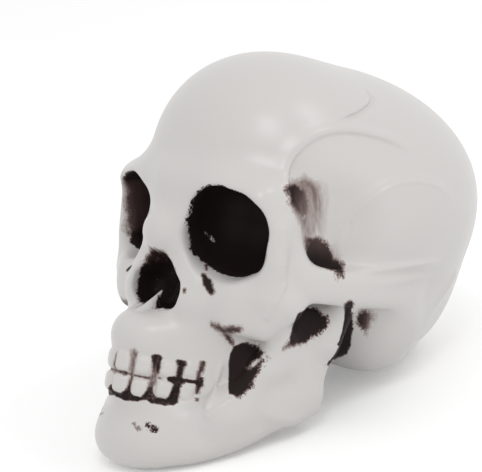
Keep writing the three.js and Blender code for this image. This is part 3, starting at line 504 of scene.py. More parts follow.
def uncut_skull(p):
    d = braincase(p)
    d = add_lobe(d, p, *BROW)
    d = add_lobe(d, p, *BROW_MIDDLE)
    d = join(d, add_rod(rod(p, *SOCKET_RIM), p, *REAR_RIM), RIM_BLEND)
    d = d + relief(p)
    d = add_lobe(d, p, *CHEEK_BONE)
    d = add_rod(d, p, *CHEEK_EDGE)
    d = join(d, cheek_arch(p), ARCH_BLEND)
    d = add_lobe(d, p, *UPPER_JAW)
    d = join(d, gum(p), GUM_BLEND)
    d = add_lobe(d, p, *UPPER_LIP)
    d = join(d, add_lobe(rod(p, *NOSE_BRIDGE), p, *NOSE_ROOT), NOSE_BLEND)
    d = add_rod(d, p, *NOSE_SIDE)
    d = add_lobe(d, p, *HEAD_FLOOR)
    d = join(d, lower_jaw(p), JAW_BLEND)
    d = add_lobe(d, p, *JAW_SWELL)
    d = add_rod(d, p, *JAW_RIDGE)
    d = add_lobe(d, p, *EAR_BONE)
    return d - creases(p)


def skull(p):
    p = [np.abs(p[0]), p[1], p[2]]
    d = cut(uncut_skull(p), socket(p), SOCKET_BLEND)
    d = cut(d, nose_opening(p), NOSE_OPENING_BLEND)
    d = join(d, septum(p), SEPTUM_BLEND)
    for each in teeth(p):
        d = join(d, each, TOOTH_BLEND)
    return d


def hollow(p):
    return skull(p) + WALL


# Surface of a field, as one point in each grid cell that it runs through

CORNERS = [(i & 1, (i >> 1) & 1, i >> 2) for i in range(8)]
CELL_EDGES = [(a, a | bit) for a in range(8) for bit in (1, 2, 4) if not a & bit]


def is_plain(pattern):
    """True where the inner corners of a cell hang together, and so do the outer ones."""
    for inner in (True, False):
        members = [c for c in range(8) if bool(pattern >> c & 1) == inner]
        reached = set(members[:1])
        for _ in members:
            for a, b in CELL_EDGES:
                if a in members and b in members and (a in reached or b in reached):
                    reached |= {a, b}
        if len(reached) != len(members):
            return False
    return True


PLAIN = np.array([is_plain(pattern) for pattern in range(256)])


def half_lines(step, end, fine_end=0.0, fine_step=None):
    """Grid lines from half a step on the far side of the seam outwards."""
    lines = [-(fine_step or step) / 2]
    while lines[-1] < end:
        lines.append(lines[-1] + (fine_step if fine_step and lines[-1] < fine_end else step))
    return np.array(lines)


def graded_lines(span, step, fine_span=(0, 0), fine_step=None):
    """Grid lines over a span, closer together in its fine stretch."""
    lines = [span[0]]
    while lines[-1] < span[1]:
        fine = fine_span[0] <= lines[-1] < fine_span[1]
        lines.append(lines[-1] + (fine_step if fine else step))
    return np.array(lines)


def sample(field, lines):
    """Field values on the grid, worked out in full only near the surface."""
    shape = tuple(len(line) for line in lines)
    picks = [np.unique(np.append(np.arange(0, n, LOOSE_STRIDE), n - 1)) for n in shape]
    loose = np.meshgrid(*[line[pick] for line, pick in zip(lines, picks)], indexing="ij")
    loose = field([axis.astype(np.float32) for axis in loose])
    near = np.abs(loose) < BAND
    blocks = np.zeros(tuple(n - 1 for n in near.shape), bool)
    for corner in CORNERS:
        window = tuple(slice(c, n - 1 + c) for c, n in zip(corner, near.shape))
        blocks |= near[window]
    owner = [np.clip(np.searchsorted(pick, np.arange(n), side="right") - 1, 0, len(pick) - 2)
             for pick, n in zip(picks, shape)]
    values = loose[np.ix_(*owner)]
    wanted = blocks[np.ix_(*owner)]
    for axis, pick in enumerate(picks):
        inner = pick[1:-1]
        edge = [slice(None)] * 3
        edge[axis] = inner
        before = [slice(None)] * 3
        before[axis] = inner - 1
        wanted[tuple(edge)] |= wanted[tuple(before)]
    places = np.nonzero(wanted)
    values[places] = field([line[place].astype(np.float32) for line, place in zip(lines, places)])
    return values


def patterns_of(values):
    inside = values < 0
    shape = tuple(n - 1 for n in values.shape)
    pattern = np.zeros(shape, np.uint8)
    for bit, corner in enumerate(CORNERS):
        window = tuple(slice(c, n + c) for c, n in zip(corner, shape))
        pattern |= inside[window].astype(np.uint8) << bit
    return pattern


def make_plain(values):
    """Takes outer corners inside, nearest first, until each cell holds one sheet at most."""
    while True:
        bad = np.argwhere(~PLAIN[patterns_of(values)])
        if not len(bad):
            return
        for cell in bad:
            corners = [tuple(cell + corner) for corner in CORNERS]
            outer = [corner for corner in corners if values[corner] >= 0]
            if outer and not PLAIN[sum(1 << i for i, c in enumerate(corners) if values[c] < 0)]:
                nearest = min(outer, key=lambda corner: values[corner])
                values[nearest] = -TAKEN_IN_SHARE * max(values[nearest], TINY)


def surface(field, lines):
    values = sample(field, lines)
    make_plain(values)
    pattern = patterns_of(values)
    active = (pattern != 0) & (pattern != 255)
    cells = np.argwhere(active)
    number = np.full(pattern.shape, -1)
    number[active] = np.arange(len(cells))
    total = np.zeros((len(cells), 3))
    crossings = np.zeros(len(cells))
    for a, b in CELL_EDGES:
        start, end = cells + CORNERS[a], cells + CORNERS[b]
        v0, v1 = values[tuple(start.T)], values[tuple(end.T)]
        crossed = (v0 < 0) != (v1 < 0)
        t = np.where(crossed, v0 / np.where(crossed, v0 - v1, 1), 0)
        for axis, line in enumerate(lines):
            place = line[start[:, axis]] + t * (line[end[:, axis]] - line[start[:, axis]])
            total[:, axis] += np.where(crossed, place, 0)
        crossings += crossed
    points = total / crossings[:, None]
    quads = []
    inside = values < 0
    for axis in range(3):
        u, v = np.eye(3, dtype=int)[(axis + 1) % 3], np.eye(3, dtype=int)[(axis + 2) % 3]
        step = np.eye(3, dtype=int)[axis]
        window = tuple(slice(0, n - 1) if i == axis else slice(1, n - 1) for i, n in enumerate(values.shape))
        shifted = tuple(slice(1, n) if i == axis else slice(1, n - 1) for i, n in enumerate(values.shape))
        crossed = inside[window] != inside[shifted]
        base = np.argwhere(crossed) + (1 - step)
        ring = [number[tuple((base - offset).T)] for offset in (0 * u, u, u + v, v)]
        ring = np.stack(ring, 1)
        leaves = inside[tuple(base.T)]
        quads.append(np.where(leaves[:, None], ring, ring[:, ::-1]))
    return points, np.concatenate(quads)


def gradient(field, points, reach):
    parts = []
    for axis in range(3):
        offset = np.zeros(3)
        offset[axis] = reach
        ahead = field(list((points + offset).T.astype(np.float32)))
        behind = field(list((points - offset).T.astype(np.float32)))
        parts.append((ahead - behind) / (2 * reach))
    return np.stack(parts, 1)


def settle(field, points, reach, rounds):
    """Moves the points onto the surface, and keeps those at the seam on it."""
    at_seam = np.abs(points[:, 0]) < SEAM_WIDTH
    for _ in range(rounds):
        slope = gradient(field, points, reach)
        value = field(list(points.T.astype(np.float32)))
        move = value / np.maximum((slope ** 2).sum(1), LEAST_SLOPE_SQUARED)
        move = np.clip(move, -reach, reach)
        points = points - move[:, None] * slope
        points[at_seam, 0] = 0
    return points


def boundary_loops(quads):
    """Rings of points along the open edge, each in the order of its faces."""
    starts = quads.ravel()
    ends = np.roll(quads, -1, axis=1).ravel()
    forward = set(zip(starts.tolist(), ends.tolist()))
    following = {a: b for a, b in forward if (b, a) not in forward}
    loops = []
    while following:
        first = next(iter(following))
        loop = [first]
        while following.get(loop[-1], first) != first:
            loop.append(following.pop(loop[-1]))
        following.pop(loop[-1])
        loops.append(loop)
    return loops


def seam_rim(points, sheets):
    """Flat faces at the seam, between the edges of the skin and of the inner wall."""
    loops = [loop for faces in sheets for loop in boundary_loops(faces)]
    flat = [[Vector((points[i][1], points[i][2], 0)) for i in loop] for loop in loops]
    flat_index = [i for loop in loops for i in loop]
    rim = np.array([[flat_index[i] for i in face] for face in tessellate_polygon(flat)])
    a, b, c = (points[rim[:, i]] for i in range(3))
    towards = np.cross(b - a, c - a)[:, 0]
    return np.where((towards < 0)[:, None], rim, rim[:, ::-1])


def half_shell():
    """Skin, inner wall and the rim that joins them at the seam, all for the skull's left."""
    skin_lines = [
        half_lines(SKIN_STEP, GRID_SIDE, TOOTH_SIDE, TOOTH_STEP),
        graded_lines(GRID_DEPTHS, SKIN_STEP, TOOTH_DEPTHS, TOOTH_STEP),
        graded_lines(GRID_LEVELS, SKIN_STEP, TOOTH_LEVELS, TOOTH_STEP),
    ]
    hollow_lines = [
        half_lines(HOLLOW_STEP, GRID_SIDE),
        graded_lines(GRID_DEPTHS, HOLLOW_STEP),
        graded_lines(GRID_LEVELS, HOLLOW_STEP),
    ]
    skin, skin_faces = surface(skull, skin_lines)
    skin = settle(skull, skin, SETTLE_REACH, SETTLE_ROUNDS)
    wall, wall_faces = surface(hollow, hollow_lines)
    wall_faces = wall_faces[:, ::-1] + len(skin)
    points = np.concatenate([skin, wall])
    normals = np.concatenate([gradient(skull, skin, SLOPE_REACH), -gradient(hollow, wall, SLOPE_REACH)])
    normals /= np.maximum(np.linalg.norm(normals, axis=1, keepdims=True), TINY)
    sheets = [skin_faces, wall_faces]
    return points, normals, np.concatenate(sheets), seam_rim(points, sheets)


def make_half(name, parts, side, material):
    """One half of the skull. The side is 1 for its left, and -1 mirrors it for its right."""
    points, normals, quads, rim = parts
    mirror = np.array((side, 1.0, 1.0))
    rest = np.array(TO_REST)
    rest_points = (points * mirror) @ rest[:3, :3].T + rest[:3, 3]
    rest_points[:, 2] = np.maximum(rest_points[:, 2], 0)
    rest_normals = (normals * mirror) @ (rest[:3, :3] / MM).T
    if side < 0:
        quads, rim = quads[:, ::-1], rim[:, ::-1]
    mesh = bpy.data.meshes.new(name)
    mesh.from_pydata(rest_points.tolist(), [], quads.tolist() + rim.tolist())
    loop_points = np.concatenate([quads.ravel(), rim.ravel()])
    loop_normals = rest_normals[loop_points]
    loop_normals[quads.size:] = (-side, 0, 0)
    mesh.shade_smooth()
    mesh.normals_split_custom_set(loop_normals.tolist())
    for key, values in paint_of(points, side).items():
        layer = mesh.attributes.new(key, "FLOAT", "POINT")
        layer.data.foreach_set("value", values.astype(np.float32))
    mesh.materials.append(material)
    half = bpy.data.objects.new(name, mesh)
    bpy.context.scene.collection.objects.link(half)
    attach(half, "root")
    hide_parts(name.replace("_half", "_shell"))


# Paint. Each patch is a distance in millimetres to its edge, below zero inside. It also has
# a fray, which is how far the brush tore the edge, and a wash, which is how thin it is. Many
# patches are drawn as the photograph's view shows them. They keep between a near and a far
# depth towards the viewer, and so stay on one form. Where patches meet, the nearest counts
# most, and the mix is as steep and as wide as given here.

# Besides the skull's black paint, the patches hold painted light: a highlight in the eye socket and the
# shadow of a crease at the temple.
VIEW_COSINE = round(math.cos(CAMERA_AZIMUTH), 3)
VIEW_SINE = round(math.sin(CAMERA_AZIMUTH), 3)
MIX_STEEPNESS = 2.0
MIX_REACH = 20
EDGE_LIMIT = 8


def view_place(p):
    """Across and towards the photograph's viewer, for points of the skull's left."""
    return VIEW_COSINE * p[0] + VIEW_SINE * p[1], VIEW_SINE * p[0] - VIEW_COSINE * p[1]


def outline(across, level, corners):
    """Distance to the edge of a flat outline, below zero inside."""
    nearest = np.full_like(across, np.inf)
    inside = np.zeros(across.shape, bool)
    for (ax, az), (bx, bz) in zip(corners, corners[1:] + corners[:1]):
        dx, dz = bx - ax, bz - az
        t = np.clip(((across - ax) * dx + (level - az) * dz) / (dx * dx + dz * dz), 0, 1)
        nearest = np.minimum(nearest, np.hypot(across - ax - t * dx, level - az - t * dz))
        if dz:
            crosses = (az > level) != (bz > level)
            inside ^= crosses & (across < ax + (level - az) * dx / dz)
    return np.where(inside, -nearest, nearest)


def within(distance, *limits):
    """The distance of a patch that also has to keep inside other limits."""
    for limit in limits:
        distance = np.maximum(distance, limit)
    return distance


# Eye socket, along its own axes outwards, upwards and forwards. First, how far forwards the
# paint reaches, by the angle round the socket from its outer side. There it ends softly. It
# spares what lies well outside the opening, and reaches further low down at the outer side.
# It is torn at the inner side and a thin wash at the outer side.
SOCKET_REACHES = [
    (0, 4.5), (15, 4.2), (32, 3.4), (54, 4.6), (91, 4.3), (119, 2.8), (140, 1.7), (164, 0.3), (189, 0.5),
    (209, -0.6), (219, 1.5), (228, 2.2), (244, -0.5), (274, 2.4), (296, 1.4), (315, 1.8), (322, 3.2),
    (331, 4.4), (345, 4.6), (360, 4.5),
]
OUTER_PULL = 0.8
OUTER_SOFTENING = 0.55
OUTER_SIDE_FADE = (12, 17)
OUTER_LEVEL_FADE = (-13, -5)
SOCKET_REACH = 0.9
SOCKET_STEEPNESS = 5
LOW_REACH = 1.8
LOW_REACH_SIDE_FADE = (10, 17)
LOW_REACH_LEVEL_FADE = (0, -4)
DEEP_REACH = 1.2
DEEP_REACH_FADE = (-4, -8)
# A small grey spot on the socket's inner wall, where the paint is left partly off, is a painted highlight.
SOCKET_HIGHLIGHT = [(8.2, -72, 14.9), (9, -69.3, 13.8), (9.8, -67.6, 12.2)], [0.8, 1.2, 0.6]
SOCKET_HIGHLIGHT_EDGE = 0.1
EYE_FRAY = 1.2
INNER_FRAY = 3.0
INNER_SIDE_FADE = (0, -14)
INNER_DEPTH_FADE = (-7, -2)
EYE_WASH = 0.5
FORWARD_WASH = 0.12
FORWARD_WASH_FADE = (-24, -10)
EDGE_WASH = 0.1
EDGE_WASH_FADE = (-6, 1)
EYE_WASH_SIDE_FADE = (4, 16)
EYE_WASH_LEVEL_FADE = (-14, -4)


def add_eye_paint(p, add):
    outwards, upwards, forwards = local(p, SOCKET_MIDDLE, SOCKET_ROWS)
    angle = np.degrees(np.arctan2(upwards, outwards)) % 360
    outer = ramp(outwards, *OUTER_SIDE_FADE) * ramp(upwards, *OUTER_LEVEL_FADE)
    eye = forwards - np.interp(angle, *zip(*SOCKET_REACHES)) + OUTER_PULL * outer
    eye = eye * (1 - OUTER_SOFTENING * outer)
    low_reach = LOW_REACH + DEEP_REACH * ramp(forwards, *DEEP_REACH_FADE)
    low_reach = low_reach * ramp(outwards, *LOW_REACH_SIDE_FADE) * ramp(upwards, *LOW_REACH_LEVEL_FADE)
    # Painted highlight: the paint is left partly off along a small rod on the inner wall of the socket.
    bare = np.minimum(-rod(p, *SOCKET_HIGHLIGHT), SOCKET_HIGHLIGHT_EDGE)
    eye = within(eye, SOCKET_STEEPNESS * (socket(p) - (SOCKET_REACH + low_reach)), bare)
    inner = ramp(outwards, *INNER_SIDE_FADE) * ramp(forwards, *INNER_DEPTH_FADE)
    wash = EYE_WASH + FORWARD_WASH * ramp(forwards, *FORWARD_WASH_FADE)
    wash = wash + EDGE_WASH * ramp(forwards, *EDGE_WASH_FADE)
    wash = wash * ramp(outwards, *EYE_WASH_SIDE_FADE) * ramp(upwards, *EYE_WASH_LEVEL_FADE)
    add(eye, fray=EYE_FRAY + INNER_FRAY * inner, wash=wash)


# Nose: how deep under the uncut face the paint starts, as level and depth, how far outside the
# opening it may lie, and how much stays bare at the front of the septum
NOSE_DEPTHS = [(-24, 0.3), (-20, 1.6), (-15, 3.8), (-11, 4.2), (-7, 2.6), (-4, 1.1), (1, -0.2)]
NOSE_REACH = 1.2
SEPTUM_BARE = 0.9
SEPTUM_MIDDLE = 0.7
NOSE_TOP_FADE = (-9, 0)


def add_nose_paint(p, add):
    x, _, z = p
    off_septum = SEPTUM_BARE - septum(p)
    off_septum = np.where(x < SEPTUM_MIDDLE, off_septum, np.minimum(off_septum, SEPTUM_BARE - x))
    under_face = uncut_skull(p) + np.interp(z, *zip(*NOSE_DEPTHS))
    nose = within(under_face, nose_opening(p) - NOSE_REACH, off_septum)
    add(nose, fray=1.6, wash=0.2 + 0.35 * ramp(z, *NOSE_TOP_FADE))


# Painted gum between the teeth, as place along the row and level, with its fray and wash
LOWER_BAND = [
    (-2, -57.6), (0.6, -58), (1.4, -59.4), (3, -60.5), (6.4, -60.6), (7.8, -59.3), (8.8, -56.6),
    (9.4, -56.6), (10.2, -59.2), (11.5, -60.7), (14.2, -60.6), (15.2, -58.6), (15.9, -55.6), (16.9, -55.2),
    (17.6, -57.6), (19, -59.3), (21.3, -59.4), (22.2, -57), (22.9, -51), (24.4, -51), (24.4, -60),
    (23.4, -61.4), (21.4, -62.3), (17.6, -62.3), (16, -61.4), (14.9, -61.6), (13, -62.8), (8, -63.5),
    (3, -63), (-2, -62),
]
GUM_MARKS = [
    ([(15.2, -41.9), (15.8, -41), (16.9, -40.6), (17.9, -41), (18.4, -42), (18.2, -43.3), (18.3, -46),
      (18.1, -49), (16.4, -49), (15.9, -45), (15.5, -42.8)], 0.4, 0.1),
    ([(16.6, -47), (17.8, -47), (17.9, -54), (16.2, -56)], 0.5, 0.5),
    ([(22, -42), (22.6, -41.2), (24.5, -41.2), (24.7, -42.6), (24.4, -44), (24.3, -49), (22.9, -49),
      (22.9, -44)], 0.4, 0.1),
    ([(20.6, -49.8), (22.4, -48.8), (24.7, -49), (27.4, -49), (27.9, -47), (28.9, -47.2), (29.3, -50.6),
      (28.5, -52), (27.4, -50.5), (25, -50.8), (24.4, -53), (22.6, -52.5), (21, -51)], 0.45, 0.05),
    ([(27.9, -40.8), (28.4, -40.2), (28.2, -44), (28.2, -48), (27.6, -48), (27.7, -44)], 0.7, 0.3),
    ([(27.9, -51), (28.8, -51), (28.4, -54.8), (28, -54.8)], 0.6, 0.2),
    ([(28.1, -56.6), (28.6, -56.4), (28.5, -57.8), (28.2, -57.8)], 0.4, 0.1),
    (LOWER_BAND, 0.45, 0.1),
]
# Limits of the paint at the teeth: how deep inside a mark counts, how far back it reaches, and
# how the nearest spot along the row is found
MARK_DEEPEST = -0.35
TOOTH_PAINT_BACK = -66
ROW_ROUNDS = 3
ROW_REACH = (-1, 6)
# Lines where teeth meet: how alike the distances to both are, how far off the teeth the paint
# reaches, and where it ends along the row and downwards
CONTACT_WIDTH = 0.6
CONTACT_REACH = 1.6
CONTACT_SIDE = 19
CONTACT_LOW = -57.5
# Lines in two gaps of the upper teeth
TOOTH_GAP = [(8.9, -41.5), (9.2, -51.5)], [0.6, 0.7]
TOOTH_GAP_REACH = 0.2
TOOTH_GAP_FADE = (-45, -50)
MIDDLE_GAP = [(0, -43.5), (0, -52)], [0.1, 0.5]


def along_row(p):
    """Place along the tooth row, as the x of the nearest spot on its front."""
    x, y, _ = p
    place = x
    for _ in range(ROW_ROUNDS):
        slope = tooth_row_slope(place)
        length = np.sqrt(1 + slope * slope)
        inwards = (y - tooth_row_front(place) - (x - place) * slope) / length
        place = x + np.clip(inwards, *ROW_REACH) * slope / length
    return place


def add_tooth_paint(p, add):
    z = p[2]
    row = along_row(p)
    behind = p[1] - TOOTH_PAINT_BACK
    for corners, fray, wash in GUM_MARKS:
        add(within(outline(row, z, corners), MARK_DEEPEST, behind), fray, wash)
    distances = np.sort(np.stack(teeth(p)), axis=0)
    contact = np.maximum(distances[1] - distances[0] - CONTACT_WIDTH, distances[0] - CONTACT_REACH)
    add(within(contact, row - CONTACT_SIDE, CONTACT_LOW - z, behind), fray=0.4, wash=0.55)
    gap = within(stroke(row, z, *TOOTH_GAP), behind, -TOOTH_GAP_REACH - distances[0])
    add(gap, fray=0.6, wash=0.8 - 0.3 * ramp(z, *TOOTH_GAP_FADE))
    add(within(stroke(row, z, *MIDDLE_GAP), behind), fray=0.5, wash=0.6)


# Patches on the side, as place across the photograph's view and level. A fade is where the
# fray or the wash starts to change and where it has changed in full.
POCKET = [(-27.4, -34.8), (-27, -40), (-25.2, -49.8), (-24.3, -51.6), (-20.4, -52.4), (-17, -49.4),
          (-14.2, -44), (-12.3, -37), (-11.4, -33), (-12.7, -30.9), (-20.5, -28.8), (-23.7, -29.4),
          (-26, -31.2)]
POCKET_INNER_FADE = (-25.5, -15)
POCKET_STREAK = [(-18.4, -39.3), (-12.2, -32.3)], [0.3, 0.6]
POCKET_STREAK_EDGE = 0.1
ARCH_GAP = [(-4.2, -27.7), (-3, -23.7), (-2.6, -17), (-1.2, -11.4), (2.2, -8.8), (5.6, -8.4), (10.5, -11),
            (12.4, -13.6), (11.7, -16.9), (7.9, -20.7), (4, -23.6), (0.8, -26)]
ARCH_GAP_FRAY_FADE = (4, 11)
ARCH_GAP_WASH_FADE = (2, 10)
ARCH_GAP_LOW_FADE = (-20, -27)
JAW_GAP = [(15, -2), (15, -16), (13, -28), (12, -33), (18, -32.5), (23.7, -28.1), (24.8, -23.4),
           (24.3, -16.2), (23.2, -10.6), (23.4, -3), (21, -1)]
JAW_NECK = [(17.9, -4), (18.8, -7.9), (19.3, -11.8), (19.3, -16.1), (18.9, -20.4), (18.2, -23), (26, -25),
            (26, -12), (23, -10), (22, -6.5), (21.6, -3.2), (20.2, -2.2)]
JAW_NECK_BACK_FADE = (19.5, 21.5)
JAW_NECK_TOP_FADE = (-10, -5)
EAR_SPOT = [(25, -9), (26, -7), (29.5, -6), (32.1, -7.6), (32.2, -12.3), (30.6, -16), (26.5, -13.6),
            (24.8, -10.5)]
EAR_SPOT_BACK_FADE = (27, 32)
TEMPLE_TOP = [(-16.5, 41.7), (-13, 43.6), (-7.4, 42), (-5.4, 35), (-6.7, 29.5), (-10, 31.5), (-15.5, 37)]
TEMPLE_TOP_INSET = 0.4
TEMPLE_TOP_STROKE = [(-7.6, 37), (-7, 31.5)], [1.6, 1.2]
TEMPLE_TOP_SPREAD = 0.5
TEMPLE_TOP_FADE = (-14, -7)
TEMPLE_WASH = [(-15, 44), (-9, 47), (0, 45), (2.5, 38), (3, 24), (-3.5, 21.5), (-7.5, 27), (-13, 35)]
TEMPLE_WASH_GAP = 0.6
TEMPLE_WASH_FADE = (-7, 1)
TEMPLE_LOW = [(-6.5, 24), (-3.3, 21.6), (1.1, 22.6), (5.9, 20.4), (9.8, 16.6), (14.3, 13), (15, 7), (9, 6),
              (0, 6), (-6, 9), (-7, 16)]
TEMPLE_LOW_FADE = (12, 22)
TEMPLE_SCRATCH = [(-4.6, 23), (-3.4, 10)], [0.3, 0.5]
TEMPLE_SCRATCH_EDGE = 0.35
# A soft grey streak up the temple is painted shade: the shadow of a crease there, laid on as a thin wash.
TEMPLE_CREASE_SHADE = [(9.4, 14), (13.5, 31)], [2.2, 0.4]


def add_gap_paint(across, level, add):
    """Paint in the hollows under the cheek, behind the jaw and at the ear."""
    inner = ramp(across, *POCKET_INNER_FADE)
    streak = POCKET_STREAK_EDGE - stroke(across, level, *POCKET_STREAK)
    pocket = within(outline(across, level, POCKET), streak)
    add(pocket, fray=0.4 + 2.4 * inner, wash=0.1 + 0.4 * inner, near=60, far=78)
    fray = 1.5 + 1.2 * ramp(across, *ARCH_GAP_FRAY_FADE)
    wash = 0.1 + 0.35 * ramp(across, *ARCH_GAP_WASH_FADE) + 0.55 * ramp(level, *ARCH_GAP_LOW_FADE)
    add(outline(across, level, ARCH_GAP), fray, wash, near=48, far=84)
    add(outline(across, level, JAW_GAP), fray=1.1, wash=0.15, near=20, far=55)
    fray = 0.3 + 1.3 * ramp(across, *JAW_NECK_BACK_FADE)
    wash = 0.3 * ramp(level, *JAW_NECK_TOP_FADE)
    add(outline(across, level, JAW_NECK), fray, wash, near=50, far=72)
    wash = 0.55 + 0.4 * ramp(across, *EAR_SPOT_BACK_FADE)
    add(outline(across, level, EAR_SPOT), fray=2.0, wash=wash, near=34, far=48)


def add_temple_paint(across, level, add):
    top = outline(across, level, TEMPLE_TOP) + TEMPLE_TOP_INSET
    top = np.minimum(top, stroke(across, level, *TEMPLE_TOP_STROKE)) - TEMPLE_TOP_SPREAD
    add(top, fray=1.6, wash=0.5 + 0.3 * ramp(across, *TEMPLE_TOP_FADE), near=68, far=86)
    round_top = within(outline(across, level, TEMPLE_WASH), -TEMPLE_WASH_GAP - top)
    add(round_top, fray=1.2, wash=0.95 + 0.25 * ramp(across, *TEMPLE_WASH_FADE), near=64, far=86)
    scratch = TEMPLE_SCRATCH_EDGE - stroke(across, level, *TEMPLE_SCRATCH)
    low = within(outline(across, level, TEMPLE_LOW), scratch)
    add(low, fray=2.0, wash=0.5 + 0.2 * ramp(level, *TEMPLE_LOW_FADE), near=50, far=71.5)
    # Painted crease shadow up the temple, as a very thin wash.
    add(stroke(across, level, *TEMPLE_CREASE_SHADE), fray=0.8, wash=1.3, near=55, far=72)


# Small brush marks on the cheek, under the eye, beside the nose and on the chin
CHEEK_MARK = [(-37.2, -23.3), (-31.1, -24.8), (-24.7, -22.6)], [0.7, 1.6, 0.8]
CHEEK_MARK_TAIL = [(-31.5, -25.5), (-27.6, -30)], [1.3, 0.5]
EYE_MARK = [(-44.9, -3.2), (-42.6, -6), (-40.4, -8.6)], [0.9, 1.9, 1.7]
EYE_MARK_TIP = [(-44.9, 1.4), (-44.4, -0.4)], [0.5, 0.3]
EYE_MARK_THINNING = 0.9
NOSE_SPOT = [(-52, -10.8), (-51.8, -12)], [0.7, 0.3]
CHIN_MARK = [(-57.2, -71.6), (-52.6, -73)], [0.5, 0.9]
CHIN_SPECK = [(-63.5, -72.6), (-60, -74)], [0.1, 0.2]


def add_small_marks(across, level, side, add):
    cheek = np.minimum(stroke(across, level, *CHEEK_MARK), stroke(across, level, *CHEEK_MARK_TAIL))
    add(cheek, fray=1.5, wash=0.65, near=66, far=86)
    eye = np.minimum(stroke(across, level, *EYE_MARK), stroke(across, level, *EYE_MARK_TIP))
    if side > 0:
        add(eye, fray=0.8, wash=0.35, near=62, far=82)
        add(stroke(across, level, *NOSE_SPOT), fray=0.3, wash=0.3, near=68, far=80)
    else:
        add(eye + EYE_MARK_THINNING, fray=0.6, wash=0.1, near=62, far=82)
    add(stroke(across, level, *CHIN_MARK), fray=2.6, wash=0.3, near=66, far=80)
    add(stroke(across, level, *CHIN_SPECK), fray=1.4, wash=0.5, near=66, far=80)


def paint_patches(p, side):
    """Distance, fray and wash of every patch."""
    across, depth = view_place(p)
    blank = np.zeros_like(depth)
    patches = []

    def add(distance, fray, wash, near=-np.inf, far=np.inf):
        distance = within(distance, near - depth, depth - far)
        patches.append((distance, fray + blank, wash + blank))

    add_eye_paint(p, add)
    add_nose_paint(p, add)
    add_tooth_paint(p, add)
    add_gap_paint(across, p[2], add)
    add_temple_paint(across, p[2], add)
    add_small_marks(across, p[2], side, add)
    return patches


def paint_of(points, side):
    """Edge, fray and wash at every point. Where patches meet, the nearest one counts most."""
    x, y, z = points.T.astype(np.float32)
    p = [np.abs(x), y, z]
    distances, frays, washes = (np.stack(parts) for parts in zip(*paint_patches(p, side)))
    nearest = distances.min(0)
    weights = np.exp(-np.clip(distances - nearest, 0, MIX_REACH) * MIX_STEEPNESS)
    weights = weights / weights.sum(0)
    return {
        "paint_edge": np.clip(nearest, -EDGE_LIMIT, EDGE_LIMIT),
        "paint_fray": (frays * weights).sum(0),
        "paint_wash": (washes * weights).sum(0),
    }


# Materials

def node(tree, kind, inputs=None, **settings):
    made = tree.nodes.new(kind)
    for key, value in settings.items():
        setattr(made, key, value)
    for key, value in (inputs or {}).items():
        if isinstance(value, bpy.types.NodeSocket):
            tree.links.new(value, made.inputs[key])
        else:
            made.inputs[key].default_value = value
    return made


def math_node(tree, operation, *values, clamp=False):
    made = tree.nodes.new("ShaderNodeMath")
    made.operation = operation
    made.use_clamp = clamp
    for i, value in enumerate(values):
        if isinstance(value, bpy.types.NodeSocket):
            tree.links.new(value, made.inputs[i])
        else:
            made.inputs[i].default_value = value
    return made.outputs["Value"]


GRAIN_ROUGHNESS = 0.62
GRAIN_SWING = 4.0


def grain(tree, place, scale, detail, stretch=1.0):
    """Noise mostly from -1 to 1, drawn out along the skull's upright."""
    turn = node(tree, "ShaderNodeMapping", {
        "Vector": place,
        "Rotation": (REST_PITCH, 0, 0),
        "Scale": (1, 1, 1 / stretch),
    })
    noise = node(tree, "ShaderNodeTexNoise", {
        "Vector": turn.outputs["Vector"],
        "Scale": scale,
        "Detail": detail,
        "Roughness": GRAIN_ROUGHNESS,
    })
    return math_node(tree, "MULTIPLY_ADD", noise.outputs["Fac"], GRAIN_SWING, -GRAIN_SWING / 2)


# Cover of the paint and the colour that it gives, from bare plastic to full black
PAINT_TONES = [
    (0.0, (0.642, 0.623, 0.606)),
    (0.25, (0.438, 0.384, 0.367)),
    (0.5, (0.193, 0.140, 0.128)),
    (0.75, (0.063, 0.038, 0.035)),
    (1.0, (0.0190, 0.0130, 0.0122)),
]
# Grain tears an edge by its fray, and streaks move it by its wash. The edge softens over so
# many millimetres, and over more where the paint is a wash. From a wash of a half on, the
# plastic shows through, most of all between the streaks.
COARSE_TEARS = {"scale": 330, "detail": 5, "stretch": 1.6}
FINE_TEARS = {"scale": 1100, "detail": 3}
STREAKS = {"scale": 260, "detail": 3, "stretch": 5.0}
FRAY_SHARE = 0.5
STREAK_SHARE = 1.5
EDGE_SOFTNESS = 0.35
WASH_SOFTNESS = 3.2
THIN_FROM = 0.5
BARE_SHARE = 0.58
BARE_STREAKS = 0.2
PLASTIC_ROUGHNESS = 0.3
PAINT_ROUGHER = 0.15
PLASTIC_SHINE = 0.5
PAINT_DULLER = 0.42


def torn_edge(tree, edge, fray, wash, streaks, place):
    tears = math_node(tree, "ADD", grain(tree, place, **COARSE_TEARS), grain(tree, place, **FINE_TEARS))
    tears = math_node(tree, "MULTIPLY", tears, math_node(tree, "MULTIPLY", fray, FRAY_SHARE))
    streak_reach = math_node(tree, "MULTIPLY", wash, STREAK_SHARE)
    return math_node(tree, "ADD", edge, math_node(tree, "MULTIPLY_ADD", streak_reach, streaks, tears))


